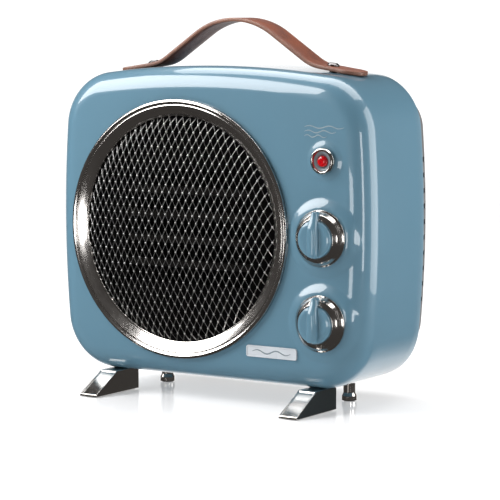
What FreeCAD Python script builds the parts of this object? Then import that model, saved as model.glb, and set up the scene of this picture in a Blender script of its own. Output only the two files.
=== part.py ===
import FreeCAD, Part
import math
import os

import Sketcher

# Ceramic space heater: a rounded box with a round wire-mesh outlet, two control knobs, a pilot
# lamp, two wedge feet in front, two round feet behind and a leather strap handle.
#
# Row frame: +Z up, +Y towards the back, +X to the right seen from the front. The origin is on the
# ground, under the middle of the whole heater.
#
# Pieces that face the front are drawn in a "front view" of their own: local X to the right, local Y
# up, local Z out of the front face towards the user. FACE_UP turns that view into the row frame.

DRIVING = {
    # Case
    "body_width": 286.0,
    "body_height": 241.0,
    "body_depth": 120.0,
    "shell_depth": 86.0,
    "ground_gap": 18.0,
    "front_y": -49.0,
    "wall": 2.5,
    "corner_radius": 44.0,
    "top_crown": 830.0,
    "side_crown": 940.0,
    "front_round": 18.0,
    "rear_round": 8.0,
    "cover_inset": 1.0,
    "cover_taper": 17.0,
    "cover_play": 2.0,
    "case_screw_x": 108.0,
    "case_screw_low": 49.3,
    "case_screw_high": 219.3,
    "lip_length": 6.0,
    "lip_play": 0.2,
    "cavity_step": 14.0,
    "room_inset": 13.0,
    # Outlet: bezel, mesh and duct
    "outlet_x": -25.0,
    "outlet_z": 133.3,
    "opening_radius": 88.0,
    "bezel_radius": 100.0,
    "bezel_rise": 4.0,
    "bezel_sleeve": 86.2,
    "mesh_radius": 86.0,
    "mesh_rise": 8.5,
    "mesh_gauge": 1.0,
    "duct_radius": 84.0,
    "duct_wall": 2.5,
    "duct_front": 6.5,
    "duct_rear": 64.0,
    # Ceramic heating element
    "element_front": 12.0,
    "element_depth": 16.0,
    "window_width": 116.0,
    "bar_height": 5.0,
    "bank_height": 14.0,
    # Fan
    "fan_middle": 49.0,
    "hub_radius": 22.0,
    "hub_length": 22.0,
    "fan_radius": 78.0,
    "blade_chord": 34.0,
    "blade_gauge": 1.6,
    "blade_pitch": 32.0,
    "spindle_radius": 2.5,
    "motor_radius": 29.0,
    "motor_length": 30.0,
    "bracket_gauge": 3.0,
    # Controls
    "knob_x": 105.0,
    "thermostat_z": 133.3,
    "selector_z": 69.8,
    "dome_radius": 30.0,
    "dome_height": 2.9,
    "dome_root": 5.0,
    "boss_radius": 28.0,
    "boss_rear": 8.0,
    "skirt_radius": 21.3,
    "skirt_height": 8.0,
    "cap_radius": 14.0,
    "cap_height": 4.5,
    "grip_height": 4.0,
    "grip_width": 8.0,
    "knob_rise": 3.1,
    "stem_radius": 3.0,
    "running_gap": 0.05,
    "lamp_x": 106.4,
    "lamp_z": 190.5,
    "lamp_boss": 15.5,
    "lamp_dome_height": 1.1,
    "lamp_rise": 3.1,
    "lamp_seat": 0.6,
    "lamp_hole": 6.6,
    "lamp_radius": 10.0,
    "lens_radius": 4.3,
    "badge_x": 60.5,
    "badge_z": 44.4,
    "badge_width": 45.0,
    "badge_height": 8.8,
    # Strap handle
    "strap_y": 2.0,
    "strap_width": 25.0,
    "strap_gauge": 2.8,
    "strap_reach": 110.5,
    "strap_level": 257.6,
    "strap_rise": 36.4,
    "strap_bend": 36.0,
    "strap_crest": 62.0,
    "strap_slope": 34.0,
    "strap_tilt": 8.5,
    "spacer_play": 0.55,
    "stud_x": 83.0,
    "stud_head": 4.8,
    "stud_shank": 2.0,
    "stud_edge": 1.4,
    "spacer_radius": 3.4,
    # Feet
    "foot_width": 16.0,
    "foot_length": 57.0,
    "foot_slant": 28.0,
    "foot_x": 92.0,
    "foot_tip_y": -77.0,
    "pad_gauge": 1.2,
    "pad_recess": 0.6,
    "rear_foot_x": 86.0,
    "rear_foot_y": 23.0,
    "rear_foot_radius": 6.0,
    # Rear
    "intake_width": 150.0,
    "intake_height": 140.0,
    "gland_x": 92.0,
    "gland_z": 52.0,
    "gland_bore": 4.0,
}

doc = FreeCAD.newDocument("ceramic_space_heater")
FACE_UP = FreeCAD.Rotation(FreeCAD.Vector(1, 0, 0), 90)
TURNED_BACK = FreeCAD.Rotation(FreeCAD.Vector(1, 0, 0), -90)
UPRIGHT = FreeCAD.Rotation()
nodes = []


def fill_sheet():
    """Write every driving dimension to its own named cell."""
    cells = doc.addObject("Spreadsheet::Sheet", "Dims")
    for row, (alias, value) in enumerate(DRIVING.items(), start=1):
        cells.set(f"A{row}", alias)
        cells.set(f"B{row}", str(value))
        cells.setAlias(f"B{row}", alias)
    doc.recompute()
    return cells


dims = fill_sheet()
trial = doc.addObject("Spreadsheet::Sheet", "Trial")


def size(alias):
    return float(dims.get(alias))


def spelled_out(formula):
    """The formula with each of the sheet's words as a full reference."""
    words = sorted(DRIVING, key=len, reverse=True)
    for index, word in enumerate(words):
        formula = formula.replace(word, f"@{index}@")
    for index, word in enumerate(words):
        formula = formula.replace(f"@{index}@", f"Dims.{word}")
    return formula


def bind(target, prop, formula):
    """Tie a property to a formula in the sheet's words."""
    target.setExpression(prop, spelled_out(formula))


def evaluate(formula):
    """The present value of a formula, worked out in a spare sheet of one cell."""
    trial.set("A1", f"={spelled_out(formula)}")
    trial.recompute()
    return float(trial.get("A1"))


def locate(target, x_formula, y_formula, z_formula, turn=UPRIGHT):
    target.Placement = FreeCAD.Placement(FreeCAD.Vector(0, 0, 0), turn)
    for axis, formula in zip("xyz", (x_formula, y_formula, z_formula)):
        bind(target, f"Placement.Base.{axis}", formula)


def keep(target, label):
    """Name a finished sub-part; it is written to a file of that name."""
    target.Label = label
    nodes.append(target)
    return target


# ---------------------------------------------------------------------------------------------
# Part Design helpers


def new_body(label):
    body = doc.addObject("PartDesign::Body", label + "_body")
    return keep(body, label)


def origin_plane(body, role):
    for feature in body.Origin.OriginFeatures:
        if feature.Role == role:
            return feature
    raise ValueError(role)


def sketch_on(body, name, role="XY_Plane", lift=None):
    """A sketch on one of the body's own planes, moved along the plane's normal by a formula."""
    sketch = body.newObject("Sketcher::SketchObject", name)
    sketch.AttachmentSupport = [(origin_plane(body, role), "")]
    sketch.MapMode = "FlatFace"
    if lift is not None:
        bind(sketch, "AttachmentOffset.Base.z", lift)
    return sketch


def add_circle(sketch, radius, x="0", y="0"):
    """A circle whose centre and radius are bound to the sheet."""
    vector = FreeCAD.Vector(3.0, 3.0, 0)
    geometry = sketch.addGeometry(Part.Circle(vector, FreeCAD.Vector(0, 0, 1), 5.0), False)
    for kind, formula in (("DistanceX", x), ("DistanceY", y)):
        if formula == "0":
            axis = -2 if kind == "DistanceX" else -1
            sketch.addConstraint(Sketcher.Constraint("PointOnObject", geometry, 3, axis))
        else:
            reference = sketch.addConstraint(Sketcher.Constraint(kind, -1, 1, geometry, 3, 3.0))
            bind(sketch, f"Constraints[{reference}]", formula)
    index = sketch.addConstraint(Sketcher.Constraint("Radius", geometry, 5.0))
    bind(sketch, f"Constraints[{index}]", radius)
    return geometry


def add_polygon(sketch, points):
    """A closed outline of straight sides; each corner's place is a pair of formulas."""
    start = [FreeCAD.Vector(evaluate(x), evaluate(y), 0) for x, y in points]
    count = len(points)
    lines = []
    for index in range(count):
        line = Part.LineSegment(start[index], start[(index + 1) % count])
        lines.append(sketch.addGeometry(line, False))
    for index in range(count):
        following = lines[(index + 1) % count]
        sketch.addConstraint(Sketcher.Constraint("Coincident", lines[index], 2, following, 1))
    for line, (x, y) in zip(lines, points):
        pin_point(sketch, line, 1, x, y)
    return lines


def pin_point(sketch, geometry, point, x, y):
    """Fix a point of the sketch at a pair of formulas."""
    for kind, formula, axis in (("DistanceX", x, -2), ("DistanceY", y, -1)):
        value = evaluate(formula)
        if abs(value) < 1e-9:
            sketch.addConstraint(Sketcher.Constraint("PointOnObject", geometry, point, axis))
            continue
        index = sketch.addConstraint(Sketcher.Constraint(kind, -1, 1, geometry, point, value))
        bind(sketch, f"Constraints[{index}]", formula)


def add_box(sketch, width, height, x="0", y="0"):
    """A rectangle centred on a pair of formulas."""
    left = f"{x} - ({width}) / 2"
    right = f"{x} + ({width}) / 2"
    low = f"{y} - ({height}) / 2"
    high = f"{y} + ({height}) / 2"
    return add_polygon(sketch, [(left, low), (right, low), (right, high), (left, high)])


def pad(body, sketch, length, reverse=False, midplane=False):
    feature = body.newObject("PartDesign::Pad", sketch.Name + "_pad")
    feature.Profile = sketch
    feature.Midplane = midplane
    feature.Reversed = reverse
    bind(feature, "Length", length)
    doc.recompute()
    return feature


def pocket(body, sketch, length, reverse=False):
    """Cut a sketch into the body against the sketch's normal, or along it when reversed."""
    before = body.Shape.Volume
    feature = body.newObject("PartDesign::Pocket", sketch.Name + "_pocket")
    feature.Profile = sketch
    feature.Reversed = reverse
    bind(feature, "Length", length)
    doc.recompute()
    if not body.Shape.Volume < before - 0.01:
        raise RuntimeError(f"{feature.Name} removed nothing")
    return feature


def loft(body, kind, start, end):
    """Add or remove the straight-sided form between two outlines."""
    feature = body.newObject(kind, start.Name + "_loft")
    feature.Profile = start
    feature.Sections = [end]
    feature.Ruled = True
    doc.recompute()
    return feature


def revolve(body, sketch):
    """Turn a profile that is drawn on the XZ plane about the body's own Z axis."""
    feature = body.newObject("PartDesign::Revolution", sketch.Name + "_turned")
    feature.Profile = sketch
    feature.ReferenceAxis = (sketch, ["V_Axis"])
    feature.Angle = 360
    doc.recompute()
    return feature


def fillet(body, radius, chosen):
    """Round those edges of the body's tip that the chosen test accepts."""
    tip = body.Tip
    names = [f"Edge{i}" for i, edge in enumerate(tip.Shape.Edges, start=1) if chosen(edge)]
    feature = body.newObject("PartDesign::Fillet", tip.Name + "_round")
    feature.Base = (tip, names)
    bind(feature, "Radius", radius)
    doc.recompute()
    return feature


def in_row(body, feature, direction_sketch, axis, length, count):
    """Repeat a feature along an axis of its sketch."""
    pattern = body.newObject("PartDesign::LinearPattern", feature.Name + "_row")
    pattern.Originals = [feature]
    pattern.Direction = (direction_sketch, [axis])
    bind(pattern, "Length", length)
    pattern.Occurrences = count
    body.Tip = pattern
    doc.recompute()
    return pattern


def in_ring(body, feature, count):
    """Repeat a feature about the body's own Z axis."""
    pattern = body.newObject("PartDesign::PolarPattern", feature.Name + "_ring")
    pattern.Originals = [feature]
    for axis in body.Origin.OriginFeatures:
        if axis.Role == "Z_Axis":
            pattern.Axis = (axis, [""])
    pattern.Angle = 360
    pattern.Occurrences = count
    body.Tip = pattern
    doc.recompute()
    return pattern


def in_plane(edge, level):
    """True for an edge that lies at one level of local Z."""
    box = edge.BoundBox
    return abs(box.ZMin - level) < 1e-3 and abs(box.ZMax - level) < 1e-3


# ---------------------------------------------------------------------------------------------
# Part workbench helpers


def cylinder(name, radius, height):
    shape = doc.addObject("Part::Cylinder", name)
    bind(shape, "Radius", radius)
    bind(shape, "Height", height)
    return shape


def block(name, length, width, height):
    shape = doc.addObject("Part::Box", name)
    bind(shape, "Length", length)
    bind(shape, "Width", width)
    bind(shape, "Height", height)
    return shape


def cut(name, base, tool):
    shape = doc.addObject("Part::Cut", name)
    shape.Base = base
    shape.Tool = tool
    return shape


def fuse(name, shapes):
    shape = doc.addObject("Part::MultiFuse", name)
    shape.Shapes = shapes
    shape.Refine = True
    return shape


def group(label, shapes):
    """Separate identical solids that share one node."""
    shape = doc.addObject("Part::Compound", label + "_group")
    shape.Links = shapes
    return keep(shape, label)


# ---------------------------------------------------------------------------------------------
# Case outline: crowned top and sides, flat bottom, four round corners, all tangent


def outline_arcs(inset):
    """Centres and radii of the outline, each side moved inwards by the inset."""
    top = size("top_crown")
    side = size("side_crown")
    corner = size("corner_radius")
    low = size("ground_gap")
    high = low + size("body_height")
    half = size("body_width") / 2
    middle = (low + high) / 2
    top_centre = high - top
    side_x = half - side
    # The upper corner touches the top and the side from inside: two circles meet at its centre.
    top_reach = top - corner
    side_reach = side - corner
    gap_x = side_x
    gap_y = middle - top_centre
    span = math.hypot(gap_x, gap_y)
    along = (top_reach ** 2 - side_reach ** 2 + span ** 2) / (2 * span)
    across = math.sqrt(top_reach ** 2 - along ** 2)
    upper_x = (along * gap_x + across * gap_y) / span
    upper_y = top_centre + (along * gap_y - across * gap_x) / span
    lower_y = low + corner
    lower_x = side_x + math.sqrt(side_reach ** 2 - (lower_y - middle) ** 2)
    return {
        "top": (0.0, top_centre, top - inset),
        "side": (side_x, middle, side - inset),
        "upper": (upper_x, upper_y, corner - inset),
        "lower": (lower_x, lower_y, corner - inset),
        "low": low + inset,
    }


def touch_point(big, small):
    """Where a small arc touches the large arc that it lies inside of."""
    angle = math.atan2(small[1] - big[1], small[0] - big[0])
    return FreeCAD.Vector(big[0] + big[2] * math.cos(angle), big[1] + big[2] * math.sin(angle), 0)


def arc_between(arc, first, last):
    """The counter-clockwise arc from one point to the other."""
    centre = FreeCAD.Vector(arc[0], arc[1], 0)
    circle = Part.Circle(centre, FreeCAD.Vector(0, 0, 1), arc[2])
    start = math.atan2(first.y - arc[1], first.x - arc[0])
    end = math.atan2(last.y - arc[1], last.x - arc[0])
    if end < start:
        end += 2 * math.pi
    return Part.ArcOfCircle(circle, start, end)


def mirrored_arc(arc):
    return (-arc[0], arc[1], arc[2])


def flipped(point):
    return FreeCAD.Vector(-point.x, point.y, 0)


def case_outline(sketch, inset="0"):
    """Draw the case outline in a front-view sketch, moved inwards by the inset."""
    arcs = outline_arcs(evaluate(inset))
    top_right = touch_point(arcs["top"], arcs["upper"])
    side_high = touch_point(arcs["side"], arcs["upper"])
    side_low = touch_point(arcs["side"], arcs["lower"])
    base_right = FreeCAD.Vector(arcs["lower"][0], arcs["low"], 0)
    pieces = [
        Part.LineSegment(flipped(base_right), base_right),
        arc_between(arcs["lower"], base_right, side_low),
        arc_between(arcs["side"], side_low, side_high),
        arc_between(arcs["upper"], side_high, top_right),
        arc_between(arcs["top"], top_right, flipped(top_right)),
        arc_between(mirrored_arc(arcs["upper"]), flipped(top_right), flipped(side_high)),
        arc_between(mirrored_arc(arcs["side"]), flipped(side_high), flipped(side_low)),
        arc_between(mirrored_arc(arcs["lower"]), flipped(side_low), flipped(base_right)),
    ]
    drawn = [sketch.addGeometry(piece, False) for piece in pieces]
    for index, geometry in enumerate(drawn):
        following = drawn[(index + 1) % len(drawn)]
        sketch.addConstraint(Sketcher.Constraint("Tangent", geometry, 2, following, 1))
    radii = {4: "top_crown", 2: "side_crown", 6: "side_crown"}
    for index in (1, 2, 3, 4, 5, 6, 7):
        alias = radii.get(index, "corner_radius")
        radius = sketch.addConstraint(
            Sketcher.Constraint("Radius", drawn[index], size(alias) - evaluate(inset)))
        bind(sketch, f"Constraints[{radius}]", f"{alias} - ({inset})")
    sketch.addConstraint(Sketcher.Constraint("PointOnObject", drawn[4], 3, -2))
    pin_height(sketch, drawn[4], 3, "ground_gap + body_height - top_crown")
    for index, sign in ((2, ""), (6, "-")):
        pin_height(sketch, drawn[index], 3, "ground_gap + body_height / 2")
        formula = f"{sign}1 * (body_width / 2 - side_crown)"
        reference = sketch.addConstraint(
            Sketcher.Constraint("DistanceX", -1, 1, drawn[index], 3, mirror_sign(sign) * arcs["side"][0]))
        bind(sketch, f"Constraints[{reference}]", formula)
    sketch.addConstraint(Sketcher.Constraint("Horizontal", drawn[0]))
    pin_height(sketch, drawn[0], 1, f"ground_gap + {inset}")


def mirror_sign(sign):
    return -1.0 if sign == "-" else 1.0


def pin_height(sketch, geometry, point, formula):
    reference = sketch.addConstraint(
        Sketcher.Constraint("DistanceY", -1, 1, geometry, point, evaluate(formula)))
    bind(sketch, f"Constraints[{reference}]", formula)


# ---------------------------------------------------------------------------------------------
# Case


def front_shell():
    """Blue case half: rounded front, open back, outlet opening, swellings under knobs and lamp."""
    body = new_body("front_shell")
    locate(body, "0", "front_y", "0", FACE_UP)
    outside = sketch_on(body, "shell_outline")
    case_outline(outside)
    pad(body, outside, "shell_depth", reverse=True)
    fillet(body, "front_round", lambda edge: in_plane(edge, 0.0))

    cavity = sketch_on(body, "shell_cavity", lift="0 - shell_depth")
    case_outline(cavity, "wall")
    pocket(body, cavity, "shell_depth - cavity_step", reverse=True)
    front_room = sketch_on(body, "shell_front_room", lift="0 - cavity_step")
    case_outline(front_room, "room_inset")
    pocket(body, front_room, "cavity_step - wall", reverse=True)

    bosses = sketch_on(body, "knob_bosses", lift="0 - boss_rear")
    add_circle(bosses, "boss_radius", "knob_x", "thermostat_z")
    add_circle(bosses, "boss_radius", "knob_x", "selector_z")
    add_circle(bosses, "lamp_boss", "lamp_x", "lamp_z")
    pad(body, bosses, "boss_rear - wall / 2")

    opening = sketch_on(body, "outlet_opening")
    add_circle(opening, "opening_radius", "outlet_x", "outlet_z")
    pocket(body, opening, "cavity_step")
    for name, level in (("thermostat_dome", "thermostat_z"), ("selector_dome", "selector_z")):
        raise_dome(body, name, "knob_x", level, "dome_radius", "dome_height", "skirt_radius")
    raise_dome(body, "lamp_dome", "lamp_x", "lamp_z", "lamp_boss", "lamp_dome_height", "lamp_radius")

    stems = sketch_on(body, "stem_holes", lift="dome_height + 1")
    add_circle(stems, "stem_radius + 1", "knob_x", "thermostat_z")
    add_circle(stems, "stem_radius + 1", "knob_x", "selector_z")
    add_circle(stems, "lamp_hole", "lamp_x", "lamp_z")
    pocket(body, stems, "cavity_step + dome_height + 1")

    studs = sketch_on(body, "stud_holes", "XZ_Plane", lift="0 - ground_gap - body_height - 5")
    add_circle(studs, "stud_shank + 0.2", "stud_x", "front_y - strap_y")
    add_circle(studs, "stud_shank + 0.2", "0 - stud_x", "front_y - strap_y")
    pocket(body, studs, "25", reverse=True)

    feet = sketch_on(body, "foot_holes", "XZ_Plane")
    for side in ("foot_x", "0 - foot_x"):
        add_circle(feet, "stud_shank + 0.2", side, "front_y - foot_tip_y - foot_length + 7")
    for side in ("rear_foot_x", "0 - rear_foot_x"):
        add_circle(feet, "stud_shank + 0.2", side, "front_y - rear_foot_y")
    pocket(body, feet, "ground_gap + 8")


def raise_dome(body, name, x, y, radius, height, top_radius):
    """A shallow round swelling of the front face, flat in the middle where a control sits."""
    profile = sketch_on(body, name, "XZ_Plane", lift=f"0 - ({y})")
    bind(profile, "AttachmentOffset.Base.x", x)
    add_polygon(profile, [
        ("0", "0 - wall"),
        ("0", height),
        (top_radius, height),
        (f"({top_radius} * 2 + {radius}) / 3", f"{height} * 0.72"),
        (f"({top_radius} + {radius} * 2) / 3", f"{height} * 0.35"),
        (radius, "0"),
        (radius, "0 - dome_root"),
        (f"{radius} - 2", "0 - dome_root"),
        (f"{radius} - 2", "0 - wall"),
    ])
    revolve(body, profile)


def rear_cover():
    """Black back half that narrows to the rear: side louvres, intake opening and a locating lip."""
    body = new_body("rear_cover")
    locate(body, "0", "front_y + shell_depth", "0", FACE_UP)
    outside = sketch_on(body, "cover_outline")
    case_outline(outside, "cover_inset")
    back = sketch_on(body, "cover_back_outline", lift="shell_depth - body_depth")
    case_outline(back, "cover_taper")
    loft(body, "PartDesign::AdditiveLoft", outside, back)
    rear = -(size("body_depth") - size("shell_depth"))
    fillet(body, "rear_round", lambda edge: in_plane(edge, rear))
    lip = sketch_on(body, "cover_lip")
    case_outline(lip, "wall + lip_play")
    pad(body, lip, "lip_length")
    throat = sketch_on(body, "cover_throat", lift="lip_length")
    case_outline(throat, "wall + wall")
    pocket(body, throat, "lip_length")
    room = sketch_on(body, "cover_room")
    case_outline(room, "wall + wall")
    room_end = sketch_on(body, "cover_room_end", lift="shell_depth - body_depth + wall")
    case_outline(room_end, "cover_taper + cover_play")
    loft(body, "PartDesign::SubtractiveLoft", room, room_end)

    window = sketch_on(body, "intake_window", lift="shell_depth - body_depth")
    add_box(window, "intake_width", "intake_height", "0", "outlet_z")
    pocket(body, window, "wall + 1", reverse=True)
    outlet = sketch_on(body, "gland_hole", lift="shell_depth - body_depth")
    add_circle(outlet, "gland_bore + 3", "gland_x", "gland_z")
    pocket(body, outlet, "wall + 1", reverse=True)
    screws = sketch_on(body, "case_screw_holes", lift="shell_depth - body_depth")
    for side in ("case_screw_x", "0 - case_screw_x"):
        for level in ("case_screw_low", "case_screw_high"):
            add_circle(screws, "stud_shank + 0.1", side, level)
    pocket(body, screws, "wall + 1", reverse=True)
    louvre = sketch_on(body, "louvre", "YZ_Plane", lift="body_width / 2 + 1")
    add_box(louvre, "4", "16", "outlet_z - 54", "0 - 13")
    slot = pocket(body, louvre, "body_width + 2")
    in_row(body, slot, louvre, "H_Axis", "108", 10)
    return body


def intake_grille():
    """Slatted plate that closes the opening in the back."""
    body = new_body("intake_grille")
    locate(body, "0", "front_y + body_depth - wall", "0", FACE_UP)
    rim = sketch_on(body, "grille_plate", lift="0 - wall + 0.2")
    add_box(rim, "intake_width - 0.4", "intake_height - 0.4", "0", "outlet_z")
    pad(body, rim, "wall - 0.2")
    flange = sketch_on(body, "grille_flange")
    add_box(flange, "intake_width + 12", "intake_height + 12", "0", "outlet_z")
    pad(body, flange, "wall - 0.5")
    slit = sketch_on(body, "grille_slit", lift="wall + 1")
    add_box(slit, "4", "intake_height - 16", "0 - intake_width / 2 + 9", "outlet_z")
    slot = pocket(body, slit, "3 * wall + 2")
    in_row(body, slot, slit, "H_Axis", "intake_width - 18", 18)
    return body


def cord_gland():
    """Strain-free bushing where the mains lead would enter; its bore is left open."""
    body = new_body("cord_gland")
    locate(body, "gland_x", "front_y + body_depth", "gland_z", TURNED_BACK)
    profile = sketch_on(body, "gland_profile", "XZ_Plane")
    add_polygon(profile, [
        ("gland_bore", "0 - wall - 6"),
        ("gland_bore + 2.8", "0 - wall - 6"),
        ("gland_bore + 2.8", "0"),
        ("gland_bore + 5", "0"),
        ("gland_bore + 5", "2"),
        ("gland_bore + 3", "6"),
        ("gland_bore", "6"),
    ])
    revolve(body, profile)
    return body


# ---------------------------------------------------------------------------------------------
# Outlet


def bezel_ring():
    """Chrome ring: outer bead, sloping flange and a sleeve into the opening."""
    body = new_body("bezel_ring")
    locate(body, "outlet_x", "front_y", "outlet_z", FACE_UP)
    profile = sketch_on(body, "bezel_profile", "XZ_Plane")
    add_polygon(profile, [
        ("bezel_sleeve", "0 - duct_front + 0.5"),
        ("opening_radius - 0.2", "0 - duct_front + 0.5"),
        ("opening_radius - 0.2", "0"),
        ("bezel_radius", "0"),
        ("bezel_radius", "bezel_rise / 2"),
        ("bezel_radius - 1.5", "bezel_rise"),
        ("bezel_radius - 4", "bezel_rise"),
        ("bezel_sleeve", "bezel_rise / 4"),
    ])
    revolve(body, profile)
    return body


def front_mesh():
    """Domed disc of the expanded-metal guard, as one closed sheet."""
    body = new_body("front_mesh")
    locate(body, "outlet_x", "front_y", "outlet_z", FACE_UP)
    profile = sketch_on(body, "mesh_profile", "XZ_Plane")
    rim = size("mesh_radius")
    rise = size("mesh_rise")
    gauge = size("mesh_gauge")
    ball = (rim ** 2 + rise ** 2) / (2 * rise)
    outer = crown_arc(rim, rise, ball)
    inner = crown_arc(rim, rise - gauge, ball, -gauge)
    corners = [
        Part.LineSegment(FreeCAD.Vector(0, rise - gauge, 0), FreeCAD.Vector(0, rise, 0)),
        outer,
        Part.LineSegment(FreeCAD.Vector(rim, 0, 0), FreeCAD.Vector(rim, -gauge, 0)),
        inner,
    ]
    axis_line, outer_arc, rim_line, inner_arc = [profile.addGeometry(item, False) for item in corners]
    profile.addConstraint(Sketcher.Constraint("Coincident", axis_line, 2, outer_arc, 2))
    profile.addConstraint(Sketcher.Constraint("Coincident", outer_arc, 1, rim_line, 1))
    profile.addConstraint(Sketcher.Constraint("Coincident", rim_line, 2, inner_arc, 1))
    profile.addConstraint(Sketcher.Constraint("Coincident", inner_arc, 2, axis_line, 1))
    for arc in (outer_arc, inner_arc):
        profile.addConstraint(Sketcher.Constraint("PointOnObject", arc, 3, -2))
    pin_point(profile, axis_line, 1, "0", "mesh_rise - mesh_gauge")
    pin_point(profile, axis_line, 2, "0", "mesh_rise")
    pin_point(profile, rim_line, 1, "mesh_radius", "0")
    pin_point(profile, rim_line, 2, "mesh_radius", "0 - mesh_gauge")
    revolve(body, profile)
    return body


def crown_arc(rim, top, ball, low=0.0):
    """The arc of a dome's profile from its rim to its top, bulging away from the duct."""
    centre = FreeCAD.Vector(0, top - ball, 0)
    start = math.atan2(low - centre.y, rim)
    return Part.ArcOfCircle(Part.Circle(centre, FreeCAD.Vector(0, 0, 1), ball), start, math.pi / 2)


def air_duct():
    """Round tube that carries the air from the fan to the outlet."""
    body = new_body("air_duct")
    locate(body, "outlet_x", "front_y", "outlet_z", FACE_UP)
    profile = sketch_on(body, "duct_profile", "XZ_Plane")
    add_polygon(profile, [
        ("duct_radius", "0 - duct_rear"),
        ("duct_radius + 8", "0 - duct_rear"),
        ("duct_radius + 8", "0 - duct_rear + duct_wall"),
        ("duct_radius + duct_wall", "0 - duct_rear + duct_wall"),
        ("duct_radius + duct_wall", "0 - duct_front - duct_wall"),
        ("duct_radius + 12", "0 - duct_front - duct_wall"),
        ("duct_radius + 12", "0 - duct_front"),
        ("duct_radius", "0 - duct_front"),
    ])
    revolve(body, profile)
    standoff = sketch_on(body, "duct_standoff", lift="0 - duct_front")
    add_circle(standoff, "2.5", "0", "duct_radius + 8.5")
    post = pad(body, standoff, "duct_front - wall")
    in_ring(body, post, 4)
    return body


# ---------------------------------------------------------------------------------------------
# Ceramic heating element


def heater_frame():
    """Round insulating plate with the window that holds the element."""
    body = new_body("heater_frame")
    locate(body, "outlet_x", "front_y", "outlet_z", FACE_UP)
    plate = sketch_on(body, "frame_plate", lift="0 - element_front")
    add_circle(plate, "duct_radius - 0.2")
    pad(body, plate, "element_depth", reverse=True)
    window = sketch_on(body, "frame_window", lift="0 - element_front")
    add_box(window, "window_width", "5 * bank_height + 4 * bar_height")
    pocket(body, window, "element_depth + 1")
    return body


def ceramic_bars():
    """Ceramic heating bars between the banks of fins."""
    bars = []
    for index in range(4):
        bar = block(f"ceramic_bar_{index + 1}", "window_width - 0.4", "element_depth - 4", "bar_height - 0.1")
        level = f"outlet_z - 5 * bank_height / 2 - 2 * bar_height + 0.05"
        level += f" + {index + 1} * bank_height + {index} * bar_height"
        locate(bar, "outlet_x - window_width / 2 + 0.2", "front_y + element_front + 2", level)
        bars.append(bar)
    return group("ceramic_bars", bars)


def fin_banks():
    """Corrugated aluminium banks, drawn as combs of upright fins on a thin back strip."""
    banks = []
    for index in range(5):
        body = doc.addObject("PartDesign::Body", f"fin_bank_{index + 1}")
        level = "outlet_z - 5 * bank_height / 2 - 2 * bar_height + 0.05"
        level += f" + {index} * bank_height + {index} * bar_height"
        locate(body, "outlet_x - window_width / 2 + 0.2", "front_y + element_front + 2", level)
        strip = sketch_on(body, f"fin_strip_{index + 1}")
        add_polygon(strip, [
            ("0", "0"),
            ("window_width - 0.4", "0"),
            ("window_width - 0.4", "element_depth - 4"),
            ("0", "element_depth - 4"),
        ])
        pad(body, strip, "bank_height - 0.1")
        gap = sketch_on(body, f"fin_gap_{index + 1}", "XZ_Plane", lift="1")
        add_polygon(gap, [
            ("0.8", "0.8"),
            ("4", "0.8"),
            ("4", "bank_height - 0.9"),
            ("0.8", "bank_height - 0.9"),
        ])
        slot = pocket(body, gap, "element_depth + 2")
        in_row(body, slot, gap, "H_Axis", "window_width - 5.2", 28)
        banks.append(body)
    return group("fin_banks", banks)


def thermal_cutout():
    """Safety switch on the back of the heater frame, above the element."""
    can = cylinder("cutout_can", "7", "5")
    locate(can, "outlet_x", "front_y + element_front + element_depth", "outlet_z + 61", TURNED_BACK)
    return keep(can, "thermal_cutout")


# ---------------------------------------------------------------------------------------------
# Fan


def fan_rotor():
    """Axial fan: hub and seven pitched blades, bored for the motor spindle."""
    body = new_body("fan_rotor")
    locate(body, "outlet_x", "front_y + fan_middle", "outlet_z", FACE_UP)
    hub = sketch_on(body, "fan_hub", lift="0 - hub_length / 2")
    add_circle(hub, "hub_radius")
    pad(body, hub, "hub_length")
    fillet(body, "3", lambda edge: in_plane(edge, size("hub_length") / 2))
    root = blade_section(body, "blade_root", "hub_radius - 3", 0.62, 1.35)
    tip = blade_section(body, "blade_tip", "fan_radius", 1.0, 0.8)
    blade = body.newObject("PartDesign::AdditiveLoft", "blade")
    blade.Profile = root
    blade.Sections = [tip]
    doc.recompute()
    in_ring(body, blade, 7)
    bore = sketch_on(body, "fan_bore", lift="hub_length")
    add_circle(bore, "spindle_radius + 0.05")
    pocket(body, bore, "2 * hub_length")
    return body


def blade_section(body, name, distance, chord_share, pitch_share):
    """A flat blade section across the body's X axis, turned by its share of the pitch."""
    sketch = sketch_on(body, name, "YZ_Plane", lift=distance)
    chord = size("blade_chord") * chord_share / 2
    gauge = size("blade_gauge") / 2
    pitch = math.radians(size("blade_pitch") * pitch_share)
    corners = []
    for along, across in ((-chord, -gauge), (chord, -gauge), (chord, gauge), (-chord, gauge)):
        u = along * math.cos(pitch) - across * math.sin(pitch)
        v = along * math.sin(pitch) + across * math.cos(pitch)
        corners.append(FreeCAD.Vector(u, v, 0))
    for index in range(4):
        sketch.addGeometry(Part.LineSegment(corners[index], corners[(index + 1) % 4]), False)
    for index in range(4):
        sketch.addConstraint(Sketcher.Constraint("Coincident", index, 2, (index + 1) % 4, 1))
        sketch.addConstraint(Sketcher.Constraint("Block", index))
    return sketch


def motor_spindle():
    """Steel spindle shared by the motor and the fan."""
    rod = cylinder("spindle_rod", "spindle_radius", "hub_length + motor_length + 6")
    locate(rod, "outlet_x", "front_y + fan_middle - hub_length / 2 + 1", "outlet_z", TURNED_BACK)
    return keep(rod, "motor_spindle")


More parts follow.
